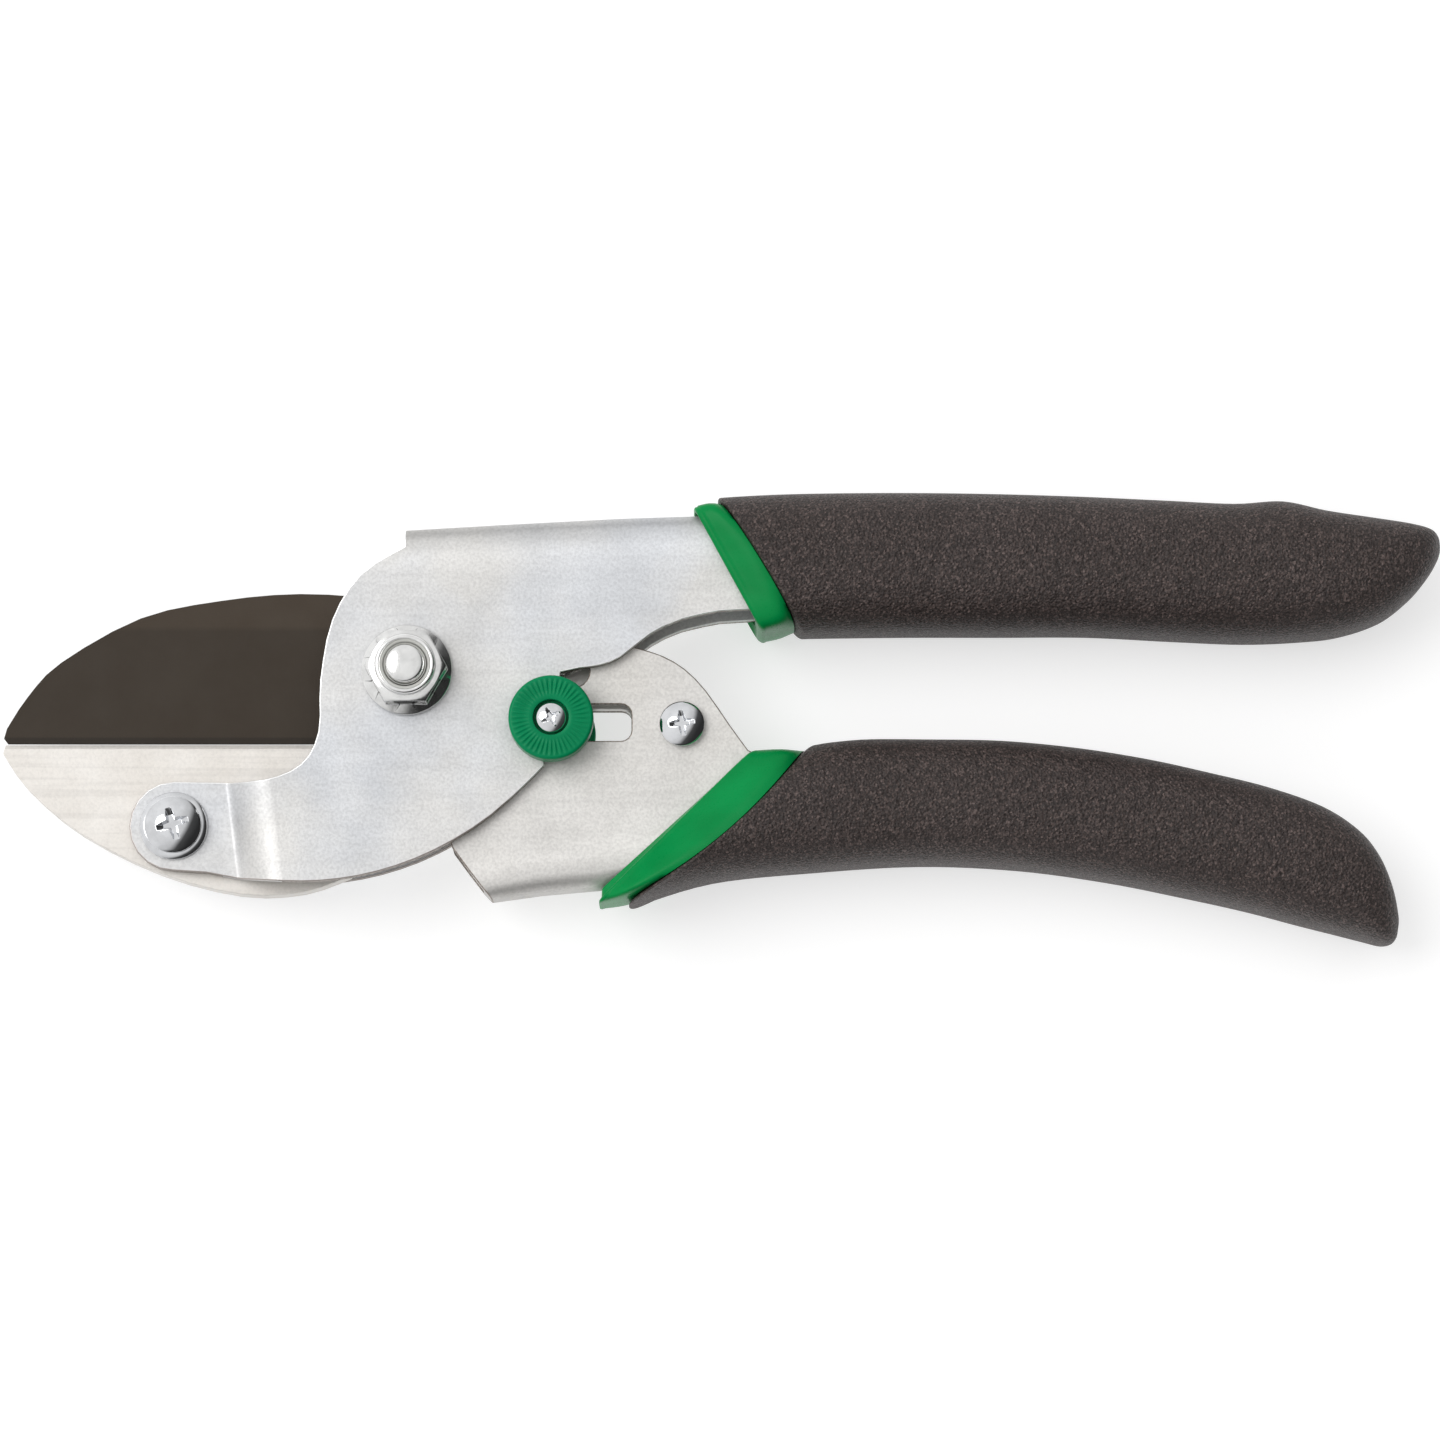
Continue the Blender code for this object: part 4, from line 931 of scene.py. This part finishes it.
# Each station is a line across the grip, from its top edge to its bottom edge, with the
# grip's half thickness there as a share of the full one.
UPPER_GRIP = (((43.4, 25.2), (55.2, 5.8), 1.0), ((53.0, 25.7), (61.0, 5.9), 1.0),
              ((66.0, 25.9), (71.0, 6.0), 1.0), ((80.0, 25.8), (83.0, 6.0), 1.0),
              ((94.0, 25.4), (96.0, 6.0), 1.0), ((107.0, 24.8), (108.0, 5.4), 1.0),
              ((116.5, 24.35), (118.0, 5.0), 1.0), ((123.4, 24.7), (126.0, 5.3), 1.0),
              ((129.5, 23.4), (131.7, 6.0), 0.98), ((136.0, 22.4), (137.4, 7.95), 0.92),
              ((141.4, 21.6), (141.4, 10.95), 0.79), ((144.3, 20.9), (143.9, 13.8), 0.60),
              ((145.5, 20.0), (145.3, 16.1), 0.34), ((145.9, 18.9), (145.85, 17.5), 0.12))
LOWER_GRIP = (((57.0, -9.95), (30.8, -32.7), 1.0), ((64.0, -9.25), (42.5, -29.2), 1.0),
              ((73.0, -9.25), (57.0, -27.65), 1.0), ((83.5, -9.45), (72.0, -26.75), 1.0),
              ((94.0, -10.45), (86.0, -27.35), 1.0), ((104.0, -12.05), (98.5, -29.05), 1.0),
              ((113.0, -14.05), (109.0, -31.15), 1.0), ((121.0, -16.05), (118.0, -33.15), 1.0),
              ((128.5, -18.75), (125.5, -35.15), 0.98), ((133.5, -22.05), (131.0, -36.55), 0.93),
              ((136.4, -25.65), (134.6, -37.5), 0.83), ((138.2, -29.9), (136.9, -38.1), 0.66),
              ((139.1, -33.9), (138.3, -37.9), 0.40), ((139.2, -35.4), (138.9, -37.2), 0.16))
UPPER_COLLAR_FRONT = ((40.0, 23.4), (49.6, 5.7))
LOWER_COLLAR_FRONT = ((48.4, -11.0), (26.6, -32.6))

# How far the front edges bow towards the rear, and over how many stations that dies out
UPPER_BULGE = 0.3
LOWER_BULGE = 2.0
BULGE_STATIONS = 2.0

COVER_THICKNESS = 1.4
COVER_LIP = 0.55
SLEEVE_WALL = 1.6
# Gap between a cover and the tube inside it
SLEEVE_FIT = 0.25
COLLAR_BEVEL = 0.6
COLLAR_STEPS = 10
# How far the collar's rear edge lies below the cover's surface, and ahead of the cover
COLLAR_STEP = 0.9
COLLAR_AHEAD = 0.2
TUBE_AHEAD = 0.1

# Stations at the tail end that the hollow leaves solid, and the smooth stations from ring to ring
SOLID_STATIONS = 3
HOLLOW_STRIDE = 3

# Exponents of the sections: 2 is an ellipse, and a higher one is squarer
GRIP_SQUARENESS = 3.0
COLLAR_SQUARENESS = 9.0
CAVITY_SQUARENESS = 14.0
SECTION_POINTS = 1440
GRIP_SIDES = 96
STATION_STEPS = 6


def section(squareness):
    """Evenly spaced (up, out) points round a unit superellipse, from its top."""
    power = 2 / squareness
    dense = []
    for step in range(SECTION_POINTS):
        angle = 2 * math.pi * step / SECTION_POINTS
        up = math.copysign(abs(math.cos(angle)) ** power, math.cos(angle))
        out = math.copysign(abs(math.sin(angle)) ** power, math.sin(angle))
        dense.append(Vector((up, out)))
    dense.append(dense[0])
    lengths = [0.0]
    for first, second in zip(dense, dense[1:]):
        lengths.append(lengths[-1] + (second - first).length)
    points = []
    index = 0
    for side in range(GRIP_SIDES):
        target = lengths[-1] * side / GRIP_SIDES
        while lengths[index + 1] < target:
            index += 1
        share = (target - lengths[index]) / (lengths[index + 1] - lengths[index])
        points.append(dense[index].lerp(dense[index + 1], share))
    return points


COVER_SECTION = section(GRIP_SQUARENESS)
COLLAR_SECTION = section(COLLAR_SQUARENESS)
CAVITY_SECTION = section(CAVITY_SQUARENESS)


def smooth_stations(drawn):
    """Top point, bottom point and half thickness of the drawn stations, with smooth ones between."""
    stations = [(Vector(top), Vector(bottom), share * MIDDLE) for top, bottom, share in drawn]
    ends = [stations[0]] + stations + [stations[-1]]
    made = []
    for before, first, second, after in zip(ends, ends[1:], ends[2:], ends[3:]):
        for step in range(STATION_STEPS):
            t = step / STATION_STEPS
            made.append(tuple(curve_value(*values, t) for values in zip(before, first, second, after)))
    made.append(stations[-1])
    return made


def shrunk(station, amount):
    """Station moved in from the surface by an amount, on every side."""
    top, bottom, half = station
    across = (top - bottom).normalized()
    slant = max(abs(across.y), 0.6)
    return (top - across * amount / slant, bottom + across * amount / slant, half - amount)


def shifted(station, distance):
    """Station moved along X."""
    top, bottom, half = station
    step = Vector((distance, 0))
    return (top + step, bottom + step, half)


def rounded_edge(station, radius, angles):
    """Stations round a quarter circle: 90 degrees is the front face, 0 the surface behind it."""
    made = []
    for angle in angles:
        setback = radius * (1 - math.sin(math.radians(angle)))
        inset = radius * (1 - math.cos(math.radians(angle)))
        made.append(shifted(shrunk(station, inset), setback))
    return made


def fading(bulge, index):
    """What is left of a front edge's bulge at a smooth station behind it."""
    fade = max(0.0, 1 - index / (BULGE_STATIONS * STATION_STEPS))
    return bulge * fade * fade


def grip_ring(station, shape, bulge=0.0):
    """Section between a top and a bottom point; its middle can bow towards the rear."""
    top, bottom, half = station
    middle = (top + bottom) / 2
    reach = (top - bottom) / 2
    across = reach.normalized()
    rearward = Vector((across.y, -across.x))
    ring = []
    for up, out in shape:
        place = middle + reach * up + rearward * (bulge * (1 - up * up))
        ring.append((place.x, place.y, MIDDLE + half * out))
    return ring


def grip_cover(node, body, drawn, bulge):
    """Soft cover: outer skin with a closed tail, a rounded front lip and a hollow for the sleeve."""
    stations = smooth_stations(drawn)
    rings = []
    hollow_end = len(stations) - SOLID_STATIONS * STATION_STEPS
    for index in [*range(hollow_end, 0, -HOLLOW_STRIDE), 0]:
        inner = shrunk(stations[index], COVER_THICKNESS)
        rings.append(grip_ring(inner, COVER_SECTION, fading(bulge, index)))
    for station in rounded_edge(stations[0], COVER_LIP, (90, 70, 50, 30, 12, 0)):
        rings.append(grip_ring(station, COVER_SECTION, bulge))
    for index in range(2, len(stations)):
        rings.append(grip_ring(stations[index], COVER_SECTION, fading(bulge, index)))
    top, bottom, half = stations[-1]
    middle = (top + bottom) / 2
    for share in (0.7, 0.35):
        station = (middle.lerp(top, share), middle.lerp(bottom, share), half * share)
        rings.append(grip_ring(station, COVER_SECTION))
    add_piece(node + "_soft", lofted(rings), [FOAM], body, [node], smooth_below=60)


def grip_sleeve(node, body, drawn, collar_front, frame_half, cavity, bulge):
    """Moulded sleeve: glossy collar, and a tube under the cover round the handle's tail."""
    stations = smooth_stations(drawn)
    mouth = frame_half + CLEARANCE
    front = (Vector(collar_front[0]), Vector(collar_front[1]), mouth + SLEEVE_WALL)
    rear = shifted(shrunk(stations[0], COLLAR_STEP), -COLLAR_AHEAD)
    rings = []
    for top, bottom in reversed(cavity):
        rings.append(grip_ring((Vector(top), Vector(bottom), mouth), CAVITY_SECTION))
    rings.append(grip_ring(shrunk(front, COLLAR_BEVEL + 0.1), COLLAR_SECTION))
    for station in rounded_edge(front, COLLAR_BEVEL, (90, 60, 30, 0)):
        rings.append(grip_ring(station, COLLAR_SECTION))
    for step in range(1, COLLAR_STEPS + 1):
        share = step / COLLAR_STEPS
        eased = share * share * (3 - 2 * share)
        top, bottom = (a.lerp(b, share) for a, b in zip(front[:2], rear[:2]))
        station = (top, bottom, front[2] + (rear[2] - front[2]) * eased)
        if step == 1:
            # Keeps clear of the front edge's bevel
            station = shifted(station, COLLAR_BEVEL * 0.6)
        shape = [a.lerp(b, share ** 4 * 0.8) for a, b in zip(COLLAR_SECTION, COVER_SECTION)]
        rings.append(grip_ring(station, shape, bulge * share * share))
    under = COVER_THICKNESS + SLEEVE_FIT
    tube_start = shifted(shrunk(stations[0], under), -TUBE_AHEAD)
    rings.append(grip_ring(tube_start, COVER_SECTION, bulge))
    for index in range(1, len(stations) - SOLID_STATIONS * STATION_STEPS - 1, HOLLOW_STRIDE):
        rings.append(grip_ring(shrunk(stations[index], under), COVER_SECTION, fading(bulge, index)))
    add_piece(node + "_moulded", lofted(rings), [GREEN], body, [node], smooth_below=50)


# Top and bottom of the handle's tail with clearance, from the collar's mouth to the tail's end
UPPER_CAVITY = (((40.6, 22.7), (48.9, 8.2)), ((52.0, 22.8), (55.0, 8.9)), ((62.0, 22.8), (62.0, 10.1)),
                ((100.0, 22.2), (100.0, 9.5)), ((122.4, 21.2), (122.4, 9.2)))
LOWER_CAVITY = (((48.0, -11.6), (27.4, -30.6)), ((58.0, -13.1), (40.0, -27.9)),
                ((75.0, -13.1), (64.0, -24.4)), ((92.0, -14.2), (88.0, -25.0)),
                ((106.0, -16.7), (102.2, -27.35)), ((118.4, -19.9), (116.4, -29.7)))


def make_grips():
    grip_cover("upper_grip_cover", "upper_handle", UPPER_GRIP, UPPER_BULGE)
    grip_cover("lower_grip_cover", "lower_handle", LOWER_GRIP, LOWER_BULGE)
    upper_half = (high("upper_frame").z - low("upper_frame").z) / 2
    lower_half = (high("lower_frame").z - low("lower_frame").z) / 2
    grip_sleeve("upper_grip_sleeve", "upper_handle", UPPER_GRIP, UPPER_COLLAR_FRONT, upper_half,
                UPPER_CAVITY, UPPER_BULGE)
    grip_sleeve("lower_grip_sleeve", "lower_handle", LOWER_GRIP, LOWER_COLLAR_FRONT, lower_half,
                LOWER_CAVITY, LOWER_BULGE)


# ---- floor, light and camera ----

FLOOR_REACH = 3.0
FLOOR_GLOW = 0.60


def make_floor():
    """Pale floor that glows a little, so that it shows almost white under the tool."""
    mesh = bmesh.new()
    corners = ((-1, -1), (1, -1), (1, 1), (-1, 1))
    mesh.faces.new([mesh.verts.new((x * FLOOR_REACH, y * FLOOR_REACH, cad_low.z)) for x, y in corners])
    floor = to_object(mesh, "floor")
    finish = Finish("pale_floor", Roughness=0.9, Specular_IOR_Level=0.1, Emission_Color=(1, 1, 1, 1),
                    Emission_Strength=FLOOR_GLOW)
    finish.to_shader(finish.ramp(finish.noise(200.0, 2.0), (0.3, 0.49), (0.7, 0.51)), "Base Color")
    floor.data.materials.append(finish.material)


BRIGHT_SIDE = Vector((-0.85, 0.48, 0.78))
# Brightness of the sky from its dark side to its bright side
SKY_STOPS = ((0.34, 0.03), (0.48, 0.08), (0.58, 0.68), (0.70, 0.84), (0.90, 0.92), (1.0, 1.0))
KEY_DIRECTION = Vector((-0.53, 0.18, 0.83))
KEY_STRENGTH = 1.2
KEY_SOFTNESS = math.radians(38)


def make_sky():
    """Soft white studio: brightest to the upper left, darker opposite, so polished metal has contrast."""
    world = bpy.data.worlds.new("studio")
    bpy.context.scene.world = world
    world.use_nodes = True
    tree = world.node_tree
    background = tree.nodes["Background"]
    coordinates = tree.nodes.new("ShaderNodeTexCoord")
    towards_light = tree.nodes.new("ShaderNodeVectorMath")
    towards_light.operation = "DOT_PRODUCT"
    towards_light.inputs[1].default_value = BRIGHT_SIDE.normalized()
    spread = tree.nodes.new("ShaderNodeMapRange")
    spread.inputs["From Min"].default_value = -1.0
    ramp = tree.nodes.new("ShaderNodeValToRGB")
    set_stops(ramp.color_ramp, SKY_STOPS)
    tree.links.new(coordinates.outputs["Generated"], towards_light.inputs[0])
    tree.links.new(towards_light.outputs["Value"], spread.inputs["Value"])
    tree.links.new(spread.outputs["Result"], ramp.inputs["Fac"])
    tree.links.new(ramp.outputs["Color"], background.inputs["Color"])
    background.inputs["Strength"].default_value = 1.0


def make_key_light():
    """Large soft light from the upper left."""
    data = bpy.data.lights.new("key", "SUN")
    data.energy = KEY_STRENGTH
    data.angle = KEY_SOFTNESS
    light = placed("key", data)
    light.rotation_euler = (-KEY_DIRECTION).to_track_quat("-Z", "Y").to_euler()


# Camera: its aim and distance in metres, and its lens and sensor in millimetres
CAMERA_TILT = math.radians(8)
CAMERA_DISTANCE = 0.9
CAMERA_AIM = Vector((0.04394, -0.0061, 0.010))
CAMERA_LENS = 159.28
CAMERA_SENSOR = 36
CAMERA_CLIP_START = 0.01


def make_camera():
    """Camera above the tool, tilted back a little."""
    data = bpy.data.cameras.new("camera")
    data.lens = CAMERA_LENS
    data.sensor_width = CAMERA_SENSOR
    data.clip_start = CAMERA_CLIP_START
    camera = placed("camera", data)
    back = Vector((0, -math.sin(CAMERA_TILT), math.cos(CAMERA_TILT)))
    camera.location = CAMERA_AIM + back * CAMERA_DISTANCE
    camera.rotation_euler = (CAMERA_TILT, 0, 0)
    bpy.context.scene.camera = camera
    bpy.context.scene.view_settings.view_transform = "Standard"


make_metalwork()
make_pivot()
make_fasteners()
make_lock()
make_spring()
make_grips()
make_floor()
make_sky()
make_key_light()
make_camera()
